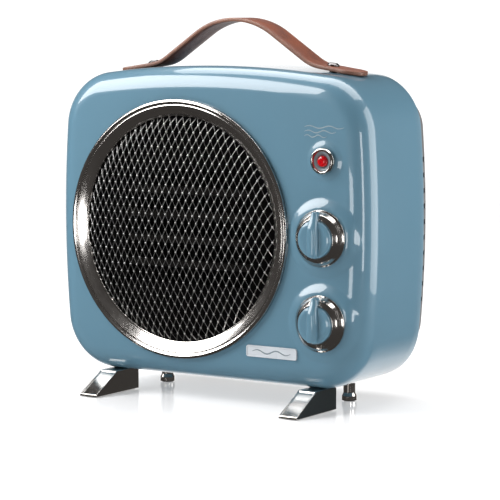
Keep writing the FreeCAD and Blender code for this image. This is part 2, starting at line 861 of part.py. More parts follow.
def fan_motor():
    """Shaded-pole motor can with a front bearing boss."""
    body = new_body("fan_motor")
    locate(body, "outlet_x", "front_y + duct_rear + bracket_gauge", "outlet_z", TURNED_BACK)
    profile = sketch_on(body, "motor_profile", "XZ_Plane")
    bore = "spindle_radius + running_gap"
    add_polygon(profile, [
        (bore, "0 - bracket_gauge"),
        ("spindle_radius + 3.5", "0 - bracket_gauge"),
        ("spindle_radius + 3.5", "0"),
        ("motor_radius", "0"),
        ("motor_radius", "motor_length - 4"),
        ("motor_radius - 4", "motor_length"),
        (bore, "motor_length"),
    ])
    revolve(body, profile)
    return body


def motor_bracket():
    """Spider that holds the motor behind the duct."""
    body = new_body("motor_bracket")
    locate(body, "outlet_x", "front_y + duct_rear + bracket_gauge", "outlet_z", FACE_UP)
    plate = sketch_on(body, "bracket_plate")
    add_circle(plate, "motor_radius + 3")
    pad(body, plate, "bracket_gauge")
    arm = sketch_on(body, "bracket_arm")
    add_box(arm, "12", "duct_radius + 8 - 10", "0", "10 + duct_radius / 2 - 1")
    spoke = pad(body, arm, "bracket_gauge")
    in_ring(body, spoke, 3)
    hole = sketch_on(body, "bracket_hole", lift="bracket_gauge + 1")
    add_circle(hole, "spindle_radius + 3.7")
    pocket(body, hole, "bracket_gauge + 2")
    return body


# ---------------------------------------------------------------------------------------------
# Controls


def knob(name, level):
    """Chrome skirt, coloured cap with a finger grip, and the switch stem they turn."""
    place = ("knob_x", "front_y - knob_rise", level)
    skirt = new_body(f"{name}_knob_skirt")
    locate(skirt, *place, FACE_UP)
    profile = sketch_on(skirt, f"{name}_skirt_profile", "XZ_Plane")
    add_polygon(profile, [
        ("stem_radius + running_gap", "0"),
        ("skirt_radius", "0"),
        ("skirt_radius", "1.5"),
        ("skirt_radius - 2.3", "skirt_height / 2 + 0.8"),
        ("cap_radius + 1.2", "skirt_height"),
        ("cap_radius + 0.1", "skirt_height"),
        ("cap_radius + 0.1", "skirt_height - 2"),
        ("stem_radius + running_gap", "skirt_height - 2"),
    ])
    revolve(skirt, profile)

    cap = new_body(f"{name}_knob_cap")
    locate(cap, *place, FACE_UP)
    disc = sketch_on(cap, f"{name}_cap_disc", lift="skirt_height - 2")
    add_circle(disc, "cap_radius")
    pad(cap, disc, "cap_height + 2 - 1")
    front = size("skirt_height") + size("cap_height") - 1
    fillet(cap, "1.5", lambda edge: in_plane(edge, front))
    bar = sketch_on(cap, f"{name}_cap_grip", lift="skirt_height + cap_height - 1.5")
    add_box(bar, "grip_width", "2 * cap_radius - 3")
    pad(cap, bar, "grip_height + 0.5")
    socket = sketch_on(cap, f"{name}_cap_socket", lift="skirt_height - 3")
    add_circle(socket, "stem_radius + running_gap")
    pocket(cap, socket, "5", reverse=True)

    stem = cylinder(f"{name}_stem_rod", "stem_radius", "boss_rear + skirt_height + 14 + knob_rise")
    locate(stem, "knob_x", "front_y - knob_rise - skirt_height - 1.5", level, TURNED_BACK)
    return keep(stem, f"{name}_stem")


def switch_can(name, level, reach):
    """Box behind the front wall that the stem turns in."""
    box = block(f"{name}_box", "30", "16", reach)
    locate(box, "knob_x - 15", "front_y + boss_rear", f"{level} - {reach} / 2")
    hole = cylinder(f"{name}_box_hole", "stem_radius + running_gap", "40")
    locate(hole, "knob_x", "front_y", level, TURNED_BACK)
    return keep(cut(f"{name}_can", box, hole), f"{name}_switch")


# ---------------------------------------------------------------------------------------------
# Pilot lamp and badge


def turned(label, x, y, z, points):
    """A front-facing turned piece from its half profile."""
    body = new_body(label)
    locate(body, x, y, z, FACE_UP)
    profile = sketch_on(body, label + "_profile", "XZ_Plane")
    add_polygon(profile, points)
    revolve(body, profile)
    return body


def pilot_lamp():
    """Chrome ring, grey surround, red lens and the holder behind the wall."""
    seat = "front_y - lamp_seat"
    turned("lamp_bezel", "lamp_x", "front_y - lamp_rise", "lamp_z", [
        ("lamp_radius - 3", "0 - 1.9"),
        ("lamp_radius", "0 - 1.35"),
        ("lamp_radius", "1.2"),
        ("lamp_radius - 1", "2.2"),
        ("lamp_radius - 2", "2.2"),
        ("lamp_radius - 3", "1"),
    ])
    turned("lamp_surround", "lamp_x", seat, "lamp_z", [
        ("lens_radius + 0.1", "0.6"),
        ("lamp_hole + 0.2", "0.6"),
        ("lamp_hole + 0.2", "3.2"),
        ("lens_radius + 0.1", "2.7"),
    ])
    turned("lamp_lens", "lamp_x", seat, "lamp_z", [
        ("0", "0.2"),
        ("lens_radius", "0.2"),
        ("lens_radius", "3"),
        ("lens_radius - 1.3", "4.2"),
        ("0", "4.8"),
    ])
    turned("lamp_holder", "lamp_x", seat, "lamp_z", [
        ("0", "0 - 20"),
        ("lamp_hole - 0.6", "0 - 20"),
        ("lamp_hole - 0.6", "0"),
        ("0", "0"),
    ])


def badge_plate():
    """Blank rounded plate on the front face."""
    body = new_body("badge_plate")
    locate(body, "badge_x", "front_y", "badge_z", FACE_UP)
    outline = sketch_on(body, "badge_outline")
    add_box(outline, "badge_width", "badge_height")
    pad(body, outline, "1.2")
    fillet(body, "1.6", lambda edge: abs(edge.BoundBox.ZLength - 1.2) < 1e-3)
    panel = sketch_on(body, "badge_panel", lift="1.2")
    add_box(panel, "badge_width - 2", "badge_height - 2")
    pocket(body, panel, "0.4")
    return body


# ---------------------------------------------------------------------------------------------
# Strap handle


def strap():
    """Leather strap: ends that lean towards the crown, a bend up each slope and a round crest."""
    body = new_body("strap")
    locate(body, "0", "strap_y", "strap_level")
    slope = math.radians(size("strap_slope"))
    tilt = math.radians(size("strap_tilt"))
    bend = size("strap_bend")
    crest = size("strap_crest")
    rise = size("strap_rise")
    reach = size("strap_reach")
    stud = size("stud_x")
    crest_end = crest * math.sin(slope)
    crest_low = rise - crest * (1 - math.cos(slope))
    # The end run, the bend and the ramp meet where their heights agree.
    bend_across = bend * (math.sin(slope) - math.sin(tilt))
    bend_up = bend * (math.cos(tilt) - math.cos(slope))
    height = crest_low - stud * math.tan(tilt) - bend_up
    height += math.tan(slope) * (bend_across + crest_end)
    bend_start = height / (math.tan(slope) - math.tan(tilt))
    start_up = (stud - bend_start) * math.tan(tilt)
    bend_end = bend_start - bend_across
    bend_top = start_up + bend_up
    tip_up = (stud - reach) * math.tan(tilt)
    path = body.newObject("Sketcher::SketchObject", "strap_path")
    path.AttachmentSupport = [(origin_plane(body, "XZ_Plane"), "")]
    path.MapMode = "FlatFace"
    upward = FreeCAD.Vector(0, 0, 1)

    def at(x, y):
        return FreeCAD.Vector(x, y, 0)

    middle_x = bend_start + bend * math.sin(tilt)
    middle_up = start_up + bend * math.cos(tilt)
    right_bend = Part.Circle(at(middle_x, middle_up), upward, bend)
    left_bend = Part.Circle(at(-middle_x, middle_up), upward, bend)
    top = Part.Circle(at(0, rise - crest), upward, crest)
    down = -math.pi / 2
    runs = [
        Part.LineSegment(at(-reach, tip_up), at(-bend_start, start_up)),
        Part.ArcOfCircle(left_bend, down + tilt, down + slope),
        Part.LineSegment(at(-bend_end, bend_top), at(-crest_end, crest_low)),
        Part.ArcOfCircle(top, math.pi / 2 - slope, math.pi / 2 + slope),
        Part.LineSegment(at(crest_end, crest_low), at(bend_end, bend_top)),
        Part.ArcOfCircle(right_bend, down - slope, down - tilt),
        Part.LineSegment(at(bend_start, start_up), at(reach, tip_up)),
    ]
    drawn = [path.addGeometry(run, False) for run in runs]
    joints = ((0, 2, 1, 1), (1, 2, 2, 1), (2, 2, 3, 2), (3, 1, 4, 1), (4, 2, 5, 1), (5, 2, 6, 1))
    for first, first_end, second, second_end in joints:
        path.addConstraint(Sketcher.Constraint(
            "Coincident", drawn[first], first_end, drawn[second], second_end))
    section = sketch_on(body, "strap_section", "YZ_Plane", lift="0 - strap_reach")
    add_box(section, "strap_width", "strap_gauge", "0", "(stud_x - strap_reach) * tan(strap_tilt * 1deg)")
    sweep = body.newObject("PartDesign::AdditivePipe", "strap_sweep")
    sweep.Profile = section
    sweep.Spine = path
    doc.recompute()
    fillet(body, "strap_width / 2 - 0.5", lambda edge: is_strap_end(edge, reach))
    holes = sketch_on(body, "strap_holes", lift="strap_gauge")
    add_circle(holes, "stud_shank + 0.2", "stud_x", "0")
    add_circle(holes, "stud_shank + 0.2", "0 - stud_x", "0")
    pocket(body, holes, "3 * strap_gauge")
    return body


def is_strap_end(edge, reach):
    """True for the four short upright edges at the strap's ends."""
    box = edge.BoundBox
    return box.YLength < 1e-3 and box.XLength < 1 and box.ZLength < 5 and abs(box.XMax) > reach - 1


def strap_fittings():
    """Spacers under the strap, cut to the crown of the case, and the studs through both."""
    spacers = []
    studs = []
    for side, sign, lean in (("left", "0 -", -1), ("right", "", 1)):
        tilted = FreeCAD.Rotation(FreeCAD.Vector(0, 1, 0), lean * size("strap_tilt"))
        across = f"{sign} stud_x"
        top = "strap_level + strap_gauge / 2 / cos(strap_tilt * 1deg)"
        tube = cylinder(f"spacer_{side}", "spacer_radius", "8")
        locate(tube, across, "strap_y", "strap_level - strap_gauge / 2 - spacer_play - 8")
        bore = cylinder(f"spacer_bore_{side}", "stud_shank + 0.2", "20")
        locate(bore, across, "strap_y", "strap_level - 20")
        crown = cylinder(f"spacer_crown_{side}", "top_crown", "40")
        locate(crown, "0", "strap_y - 20", "ground_gap + body_height - top_crown", TURNED_BACK)
        spacers.append(cut(f"spacer_cut_{side}", cut(f"spacer_tube_{side}", tube, bore), crown))
        head = cylinder(f"stud_head_{side}", "stud_head", "stud_edge")
        locate(head, across, "strap_y", top, tilted)
        dome = doc.addObject("Part::Cone", f"stud_dome_{side}")
        bind(dome, "Radius1", "stud_head")
        bind(dome, "Radius2", "stud_head - 1.8")
        bind(dome, "Height", "1.2")
        rise = "stud_edge * cos(strap_tilt * 1deg)"
        shift = f"{sign} stud_edge * sin(strap_tilt * 1deg)"
        locate(dome, f"{across} + ({shift})", "strap_y", f"{top} + {rise}", tilted)
        shank = cylinder(f"stud_shank_{side}", "stud_shank", "17")
        locate(shank, across, "strap_y", "strap_level + strap_gauge / 2 + stud_edge / 2 - 17")
        studs.append(fuse(f"stud_{side}", [head, dome, shank]))
    group("strap_spacers", spacers)
    group("strap_studs", studs)


# ---------------------------------------------------------------------------------------------
# Feet


def front_foot(side, x):
    """Chrome wedge: flat sole, slanted front with a sunk panel, upright back."""
    body = new_body(f"front_foot_{side}")
    locate(body, x, "foot_tip_y", "0")
    profile = sketch_on(body, f"foot_profile_{side}", "YZ_Plane")
    add_polygon(profile, [
        ("0", "pad_gauge - pad_recess"),
        ("foot_length", "pad_gauge - pad_recess"),
        ("foot_length", "ground_gap"),
        ("foot_slant", "ground_gap"),
        ("0.5", "2.4"),
    ])
    pad(body, profile, "foot_width", midplane=True)
    sole = sketch_on(body, f"foot_sole_{side}")
    add_box(sole, "foot_width - 4", "foot_length - 7", "0", "foot_length / 2 + 1.5")
    pocket(body, sole, "pad_gauge", reverse=True)
    hole = sketch_on(body, f"foot_hole_{side}", lift="ground_gap + 1")
    add_circle(hole, "stud_shank + 0.2", "0", "foot_length - 7")
    pocket(body, hole, "ground_gap + 2")
    return body


def rear_foot(side, x):
    """Slim round foot under the back of the case, with a flared top and a recess for its pad."""
    body = new_body(f"rear_foot_{side}")
    locate(body, x, "rear_foot_y", "0")
    profile = sketch_on(body, f"rear_profile_{side}", "XZ_Plane")
    add_polygon(profile, [
        ("0", "pad_gauge"),
        ("rear_foot_radius - 1.3", "pad_gauge"),
        ("rear_foot_radius - 1.3", "pad_gauge - pad_recess"),
        ("rear_foot_radius", "pad_gauge - pad_recess"),
        ("rear_foot_radius", "4"),
        ("rear_foot_radius - 1.2", "6.5"),
        ("rear_foot_radius - 1.2", "ground_gap - 4"),
        ("rear_foot_radius + 1.5", "ground_gap"),
        ("stud_shank + 0.2", "ground_gap"),
        ("stud_shank + 0.2", "5"),
        ("0", "5"),
    ])
    revolve(body, profile)
    return body


def rear_foot_pad(side, x):
    """Round rubber sole set into a rear foot."""
    sole = cylinder(f"rear_foot_{side}_sole", "rear_foot_radius - 1.5", "pad_gauge")
    locate(sole, x, "rear_foot_y", "0")
    return keep(sole, f"rear_foot_{side}_pad")


def foot_pad(name, x, y, length):
    """Rubber sole set into a foot."""
    sole = block(f"{name}_block", "foot_width - 4.4", length, "pad_gauge")
    locate(sole, f"{x} - foot_width / 2 + 2.2", f"{y} - ({length}) / 2", "0")
    return keep(sole, f"{name}_pad")


def foot_screws():
    """One screw down through the case floor into each foot."""
    places = [
        ("foot_x", "foot_tip_y + foot_length - 7"),
        ("0 - foot_x", "foot_tip_y + foot_length - 7"),
        ("rear_foot_x", "rear_foot_y"),
        ("0 - rear_foot_x", "rear_foot_y"),
    ]
    screws = []
    for index, (x, y) in enumerate(places, start=1):
        head = cylinder(f"foot_screw_head_{index}", "4", "2")
        locate(head, x, y, "ground_gap + wall")
        shank = cylinder(f"foot_screw_shank_{index}", "stud_shank", "wall + 13")
        locate(shank, x, y, "ground_gap - 12")
        screws.append(fuse(f"foot_screw_{index}", [head, shank]))
    group("foot_screws", screws)


def case_screws():
    """Four screws in the back of the rear cover."""
    screws = []
    for column, x in enumerate(("case_screw_x", "0 - case_screw_x"), start=1):
        for row, z in enumerate(("case_screw_low", "case_screw_high"), start=1):
            head = cylinder(f"case_screw_head_{column}_{row}", "3.6", "1.8")
            locate(head, x, "front_y + body_depth", z, TURNED_BACK)
            shank = cylinder(f"case_screw_shank_{column}_{row}", "stud_shank", "wall + 7")
            locate(shank, x, "front_y + body_depth - wall - 6", z, TURNED_BACK)
            screws.append(fuse(f"case_screw_{column}_{row}", [head, shank]))
    group("case_screws", screws)


# ---------------------------------------------------------------------------------------------
# Whole heater


def check_document():
    """Stop if any object failed or any sub-part has no sound shape."""
    for item in doc.Objects:
        if "Invalid" in item.State or "Error" in item.State:
            raise RuntimeError(f"{item.Name} failed: {item.State}")
    for node in nodes:
        if node.Shape.isNull() or not node.Shape.isValid():
            raise RuntimeError(f"{node.Label} has no valid shape")


def build():
    front_shell()
    rear_cover()
    intake_grille()
    cord_gland()
    bezel_ring()
    front_mesh()
    air_duct()
    heater_frame()
    ceramic_bars()
    fin_banks()
    thermal_cutout()
    fan_rotor()
    motor_spindle()
    fan_motor()
    motor_bracket()
    knob("thermostat", "thermostat_z")
    knob("selector", "selector_z")
    switch_can("thermostat", "thermostat_z", "30")
    switch_can("selector", "selector_z", "22")
    pilot_lamp()
    badge_plate()
    strap()
    strap_fittings()
    for side, sign in (("left", "0 - "), ("right", "")):
        front_foot(side, f"{sign}foot_x")
        rear_foot(side, f"{sign}rear_foot_x")
        foot_pad(f"front_foot_{side}", f"{sign}foot_x",
                 "foot_tip_y + foot_length / 2 + 1.5", "foot_length - 7.4")
        rear_foot_pad(side, f"{sign}rear_foot_x")
    foot_screws()
    case_screws()
    doc.recompute()
    check_document()
    os.makedirs("parts", exist_ok=True)
    for node in nodes:
        node.Shape.exportStep(f"parts/{node.Label}.step")


build()
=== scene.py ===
import math

import bmesh
import bpy
import numpy as np
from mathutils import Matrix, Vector


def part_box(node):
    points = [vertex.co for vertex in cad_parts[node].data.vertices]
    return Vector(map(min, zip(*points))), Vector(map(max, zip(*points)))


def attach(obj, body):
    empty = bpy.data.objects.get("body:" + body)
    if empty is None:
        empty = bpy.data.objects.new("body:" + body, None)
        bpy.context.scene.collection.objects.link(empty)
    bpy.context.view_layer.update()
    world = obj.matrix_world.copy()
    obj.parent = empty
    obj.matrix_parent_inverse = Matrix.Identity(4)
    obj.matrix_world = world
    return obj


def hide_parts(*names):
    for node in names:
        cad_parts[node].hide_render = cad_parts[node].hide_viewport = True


# Looks of a retro ceramic space heater. Lengths are in millimetres and turned into metres by MM;
# only the floor and the lights are placed in metres. Pieces that face the front are drawn in a
# front view: x to the right, z up, and "out" towards the user, which is -Y.

MM = 0.001

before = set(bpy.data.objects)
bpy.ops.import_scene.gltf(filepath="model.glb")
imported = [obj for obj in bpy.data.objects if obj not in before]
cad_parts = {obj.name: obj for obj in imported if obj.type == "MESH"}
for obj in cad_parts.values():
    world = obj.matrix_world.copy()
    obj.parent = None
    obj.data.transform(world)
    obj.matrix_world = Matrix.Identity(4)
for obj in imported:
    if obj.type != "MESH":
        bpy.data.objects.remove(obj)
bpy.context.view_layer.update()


def box_mm(node):
    """A CAD node's lowest and highest corners in millimetres."""
    low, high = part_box(node)
    return np.array(low) / MM, np.array(high) / MM


# The case front is flat at FRONT_Y; the swellings round the knobs stand out from it.
DOME_HEIGHT = 2.9
SHELL_LOW, SHELL_HIGH = box_mm("front_shell")
FRONT_Y = SHELL_LOW[1] + DOME_HEIGHT
SEAM_Y = SHELL_HIGH[1]
CASE_LOW_Z = SHELL_LOW[2]
CASE_HIGH_Z = SHELL_HIGH[2]
CASE_HALF = SHELL_HIGH[0]


def middle_xz(node):
    """The middle of a CAD node in the front view."""
    low, high = box_mm(node)
    return (low[0] + high[0]) / 2, (low[2] + high[2]) / 2


OUTLET = middle_xz("bezel_ring")
THERMOSTAT = middle_xz("thermostat_knob_skirt")
SELECTOR = middle_xz("selector_knob_skirt")
LAMP = middle_xz("lamp_bezel")
LAMP_RING_HEIGHT = 2.2
LAMP_SEAT_Y = box_mm("lamp_bezel")[0][1] + LAMP_RING_HEIGHT
BADGE = middle_xz("badge_plate")

# Case form
CORNER_RADIUS = 44.0
TOP_CROWN = 830.0
SIDE_CROWN = 940.0
FRONT_ROUND = 18.0
EDGE_ROUND = 0.8
OPENING_RADIUS = 88.0
DOME_RADIUS = 30.0
DOME_FLAT = 21.0
LAMP_DOME_RADIUS = 15.5
LAMP_DOME_HEIGHT = 1.1
LAMP_DOME_FLAT = 9.5
RAYS = 720
RAY_ANGLES = np.linspace(0, 2 * math.pi, RAYS, endpoint=False)

# Guard mesh
MESH_RADIUS = 86.5
MESH_RISE = 8.5
DIAMOND_WIDTH = 6.3
DIAMOND_HEIGHT = 11.5
STRAND_WIDTH = 0.34
STRAND_DEPTH = 0.6
STRAND_LEAN = 28.0
KNOT_RADIUS = 0.90

# Strap
STRAP_BEND = 36.0
STRAP_CREST = 62.0
STRAP_SLOPE = 34.0
STRAP_TILT = 8.5
STUD_X = 83.0
STRAP_LEVEL = 257.6
STRAP_GAUGE = 2.8

# Finger bar: half widths at places along it
BAR_PLACES = (-14.0, -11.5, -6.0, 2.0, 9.0, 12.5, 15.0, 18.0, 21.0)
BAR_HALF_WIDTHS = (3.4, 4.3, 4.7, 4.7, 4.2, 3.5, 3.1, 2.8, 2.3)

# View; the floor's radius is in metres
VIEW_AZIMUTH = 33.02
VIEW_ELEVATION = 5.93
VIEW_DISTANCE = 1795.0
VIEW_TARGET = (9.0, 0.0, 114.9)
VIEW_LENS = 165.6
FLOOR_RADIUS = 2.4
SENSOR = 36.0


# ---------------------------------------------------------------------------------------------
# Material helpers


class Nodes:
    """A material's node tree, with short calls for the nodes used here."""

    def __init__(self, name):
        self.material = bpy.data.materials.new(name)
        self.material.use_nodes = True
        self.tree = self.material.node_tree
        self.shader = self.tree.nodes["Principled BSDF"]
        self.place = self.tree.nodes.new("ShaderNodeTexCoord").outputs["Object"]

    def link(self, source, target):
        self.tree.links.new(source, target)

    def noise(self, scale, detail=3.0, roughness=0.5, place=None):
        node = self.tree.nodes.new("ShaderNodeTexNoise")
        node.inputs["Scale"].default_value = scale
        node.inputs["Detail"].default_value = detail
        node.inputs["Roughness"].default_value = roughness
        self.link(place or self.place, node.inputs["Vector"])
        return node.outputs["Fac"]

    def cells(self, scale, feature="F1"):
        node = self.tree.nodes.new("ShaderNodeTexVoronoi")
        node.feature = feature
        node.inputs["Scale"].default_value = scale
        self.link(self.place, node.inputs["Vector"])
        return node.outputs["Distance"]

    def stretched(self, scale):
        """Object coordinates scaled differently along each axis, for a grain with a direction."""
        node = self.tree.nodes.new("ShaderNodeMapping")
        node.inputs["Scale"].default_value = scale
        self.link(self.place, node.inputs["Vector"])
        return node.outputs["Vector"]

    def between(self, factor, low, high, start=0.3, end=0.7):
        """A number that runs from low to high as the factor runs from start to end."""
        node = self.tree.nodes.new("ShaderNodeMapRange")
        node.inputs["From Min"].default_value = start
        node.inputs["From Max"].default_value = end
        node.inputs["To Min"].default_value = low
        node.inputs["To Max"].default_value = high
        self.link(factor, node.inputs["Value"])
        return node.outputs["Result"]

    def ramp(self, factor, stops):
        node = self.tree.nodes.new("ShaderNodeValToRGB")
        node.color_ramp.elements[0].position = stops[0][0]
        node.color_ramp.elements[0].color = (*stops[0][1], 1.0)
        node.color_ramp.elements[1].position = stops[-1][0]
        node.color_ramp.elements[1].color = (*stops[-1][1], 1.0)
        for position, colour in stops[1:-1]:
            node.color_ramp.elements.new(position).color = (*colour, 1.0)
        self.link(factor, node.inputs["Fac"])
        return node.outputs["Color"]

    def sum(self, first, second, share):
        """The first number plus a share of the second."""
        node = self.tree.nodes.new("ShaderNodeMath")
        node.operation = "MULTIPLY_ADD"
        node.inputs[1].default_value = share
        self.link(second, node.inputs[0])
        self.link(first, node.inputs[2])
        return node.outputs["Value"]

    def bump(self, height, strength, distance):
        node = self.tree.nodes.new("ShaderNodeBump")
        node.inputs["Strength"].default_value = strength
        node.inputs["Distance"].default_value = distance
        self.link(height, node.inputs["Height"])
        self.link(node.outputs["Normal"], self.shader.inputs["Normal"])

    def colour(self, output):
        self.link(output, self.shader.inputs["Base Color"])

    def roughness(self, output):
        self.link(output, self.shader.inputs["Roughness"])

    def set(self, **values):
        for name, value in values.items():
            self.shader.inputs[name.replace("_", " ")].default_value = value


def shade(colour, share):
    """A colour made darker or lighter by a share."""
    return tuple(min(1.0, channel * share) for channel in colour)


def gloss_paint(name, colour):
    """Sprayed gloss finish: very slight colour drift and faint orange peel under a clear coat."""
    nodes = Nodes(name)
    drift = nodes.noise(6.0, 2.0)
    nodes.colour(nodes.ramp(drift, [(0.3, shade(colour, 0.985)), (0.7, shade(colour, 1.015))]))
    nodes.roughness(nodes.between(nodes.noise(35.0), 0.30, 0.34))
    nodes.bump(nodes.noise(260.0, 1.0), 0.006, 0.0002)
    nodes.set(Coat_Weight=1.0, Coat_Roughness=0.025, Coat_IOR=1.5, Specular_IOR_Level=0.35)
    return nodes.material


def chrome(name, colour, low=0.13, high=0.17):
    """Plated metal: bright, with faint polishing haze."""
    nodes = Nodes(name)
    haze = nodes.noise(45.0, 4.0)
    nodes.colour(nodes.ramp(haze, [(0.25, shade(colour, 0.93)), (0.75, colour)]))
    nodes.roughness(nodes.between(nodes.noise(160.0, 4.0), low, high))
    nodes.set(Metallic=1.0)
    return nodes.material


def brushed(name, colour, grain=(30.0, 30.0, 900.0), low=0.25, high=0.42):
    """Metal with a drawn grain."""
    nodes = Nodes(name)
    streaks = nodes.noise(3.0, 5.0, 0.6, nodes.stretched(grain))
    nodes.colour(nodes.ramp(streaks, [(0.3, shade(colour, 0.82)), (0.7, colour)]))
    nodes.roughness(nodes.between(streaks, low, high))
    nodes.bump(streaks, 0.10, 0.0002)
    nodes.set(Metallic=1.0)
    return nodes.material


def moulded(name, colour, low=0.38, high=0.55, grain=900.0, depth=0.25, sheen=0.5):
    """Moulded plastic with a fine spark-eroded grain and a slight sheen change."""
    nodes = Nodes(name)
    drift = nodes.noise(14.0, 3.0)
    nodes.colour(nodes.ramp(drift, [(0.3, shade(colour, 0.85)), (0.7, shade(colour, 1.15))]))
    nodes.roughness(nodes.between(nodes.noise(70.0, 4.0), low, high))
    nodes.bump(nodes.noise(grain, 3.0, 0.6), depth, 0.0003)
    nodes.set(Specular_IOR_Level=sheen)
    return nodes.material


def rubber(name):
    """Matt black rubber with a fine grain."""
    nodes = Nodes(name)
    drift = nodes.noise(40.0, 4.0)
    nodes.colour(nodes.ramp(drift, [(0.3, (0.012, 0.012, 0.012)), (0.7, (0.03, 0.03, 0.03))]))
    nodes.roughness(nodes.between(drift, 0.65, 0.85))
    nodes.bump(nodes.noise(1400.0, 3.0), 0.3, 0.0002)
    return nodes.material


def leather(name, dark, pale, pores=0.35, low=0.36, high=0.55):
    """Dyed hide: pebbled grain from small cells, pores, and soft patches of colour."""
    nodes = Nodes(name)
    pebbles = nodes.cells(1250.0)
    creases = nodes.cells(620.0, "DISTANCE_TO_EDGE")
    patches = nodes.noise(55.0, 5.0, 0.6)
    tone = nodes.sum(patches, pebbles, 0.35)
    nodes.colour(nodes.ramp(tone, [(0.35, dark), (0.85, pale)]))
    nodes.roughness(nodes.between(tone, high, low, 0.3, 0.9))
    relief = nodes.sum(nodes.sum(pebbles, creases, 0.8), nodes.noise(2600.0, 2.0), 0.25)
    nodes.bump(relief, pores, 0.0004)
    return nodes.material


def lens_red(name):
    """Clear red cap with painted shade at the rim of each moulded rib, lit a little from inside."""
    nodes = Nodes(name)
    ribs = nodes.cells(900.0)
    # Darker red towards each rib's rim is painted shade.
    nodes.colour(nodes.ramp(ribs, [(0.1, (0.75, 0.01, 0.012)), (0.6, (0.30, 0.0, 0.004))]))
    nodes.bump(ribs, 0.25, 0.0003)
    nodes.set(Roughness=0.08, Coat_Weight=1.0, Coat_Roughness=0.03, Transmission_Weight=0.15)
    nodes.set(Emission_Color=(0.6, 0.0, 0.005, 1.0), Emission_Strength=0.12)
    return nodes.material


def ceramic_in_painted_shade(name):
    """Ceramic painted near-black as shade inside the case, speckled."""
    nodes = Nodes(name)
    specks = nodes.cells(700.0)
    dark, pale = (0.003, 0.0028, 0.0025), (0.007, 0.0065, 0.006)
    nodes.colour(nodes.ramp(specks, [(0.1, dark), (0.5, pale)]))
    nodes.roughness(nodes.between(specks, 0.7, 0.9))
    nodes.bump(specks, 0.3, 0.0003)
    nodes.set(Specular_IOR_Level=0.02)
    return nodes.material


def pale_floor(name):
    """Smooth pale studio floor with a soft reflection."""
    nodes = Nodes(name)
    drift = nodes.noise(3.0, 2.0)
    nodes.colour(nodes.ramp(drift, [(0.3, (0.80, 0.80, 0.81)), (0.7, (0.82, 0.82, 0.83))]))
    nodes.roughness(nodes.between(nodes.noise(8.0), 0.10, 0.13))
    nodes.set(Specular_IOR_Level=0.6)
    nodes.set(Emission_Color=(1.0, 1.0, 1.0, 1.0), Emission_Strength=0.30)
    return nodes.material


CASE_BLUE = (0.095, 0.195, 0.262)
SILVER = (0.72, 0.69, 0.66)

MATERIALS = {
    "case_blue": gloss_paint("case_blue", CASE_BLUE),
    "cap_blue": gloss_paint("cap_blue", shade(CASE_BLUE, 1.02)),
    "chrome": chrome("chrome", SILVER),
    "black_nickel": chrome("black_nickel", (0.16, 0.15, 0.15), 0.08, 0.16),
    # Guard knots and strands are one metal: the knots are painted lighter as a highlight, the
    # strands darker as shade.
    "mesh_silver": chrome("mesh_silver", (0.80, 0.79, 0.78), 0.30, 0.42),
    "mesh_strand_painted_shade": chrome("mesh_strand_painted_shade", (0.36, 0.355, 0.35), 0.30, 0.42),
    "cover_black": moulded("cover_black", (0.018, 0.019, 0.021)),
    # Duct, frame, ceramic and fin colours are painted shade: near-black so the inside of the case
    # reads dark behind the guard.
    "duct_black": moulded("duct_black", (0.002, 0.002, 0.0022), 0.7, 0.9, sheen=0.08),
    "frame_dark": moulded("frame_dark", (0.0015, 0.0014, 0.0014), 0.8, 0.95, sheen=0.02),
    "fan_black": moulded("fan_black", (0.005, 0.005, 0.0055), 0.5, 0.7, sheen=0.2),
    "heater_ceramic": ceramic_in_painted_shade("heater_ceramic"),
    "fin_aluminium": brushed("fin_aluminium", (0.005, 0.005, 0.005), (900.0, 60.0, 60.0),
                             0.6, 0.75),
    "steel": brushed("steel", (0.48, 0.48, 0.49), (300.0, 300.0, 60.0)),
    "motor_steel": brushed("motor_steel", (0.22, 0.22, 0.23), (60.0, 500.0, 60.0)),
    "switch_plastic": moulded("switch_plastic", (0.55, 0.53, 0.48)),
    "lamp_grey": moulded("lamp_grey", (0.16, 0.20, 0.22), 0.25, 0.35, 1500.0, 0.1),
    "lens_red": lens_red("lens_red"),
    "print_silver": moulded("print_silver", (0.26, 0.32, 0.35), 0.4, 0.5, 1500.0, 0.05),
    # Near-black gloss on the front feet's outer sides is painted shade.
    "foot_side_painted_shade": gloss_paint("foot_side_painted_shade", (0.010, 0.016, 0.018)),
    "badge_silver": moulded("badge_silver", (0.47, 0.50, 0.53), 0.25, 0.35, 1500.0, 0.1),
    "leather_brown": leather("leather_brown", (0.070, 0.017, 0.008), (0.215, 0.058, 0.026)),
    "leather_inside": leather("leather_inside", (0.050, 0.014, 0.008), (0.150, 0.044, 0.023), 0.5),
    "leather_edge": leather("leather_edge", (0.13, 0.048, 0.028), (0.24, 0.11, 0.070), 0.2),
    "rubber_black": rubber("rubber_black"),
}


# ---------------------------------------------------------------------------------------------
# Mesh helpers


def add_piece(name, points, faces, body, slot, materials=None, smooth=True):
    """A mesh piece from points in millimetres; it rides on a body and takes the slot's material
    unless a list of materials is given.
    """
    mesh = bpy.data.meshes.new(name)
    mesh.from_pydata([tuple(np.asarray(point) * MM) for point in points], [], faces)
    mesh.update()
    piece = bpy.data.objects.new(name, mesh)
    bpy.context.scene.collection.objects.link(piece)
    for key in materials or [slot]:
        mesh.materials.append(MATERIALS[key])
    face_outwards(mesh)
    mesh.polygons.foreach_set("use_smooth", [smooth] * len(mesh.polygons))
    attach(piece, body)
    return piece


def face_outwards(mesh):
    """Turn every face normal outwards."""
    work = bmesh.new()
    work.from_mesh(mesh)
    bmesh.ops.recalc_face_normals(work, faces=work.faces)
    work.to_mesh(mesh)
    work.free()


def ring_faces(rows, count):
    """Quads between rows of points that run round the same number of steps."""
    faces = []
    for row in range(rows - 1):
        for step in range(count):
            following = (step + 1) % count
            faces.append((
                row * count + step,
                row * count + following,
                (row + 1) * count + following,
                (row + 1) * count + step,
            ))
    return faces


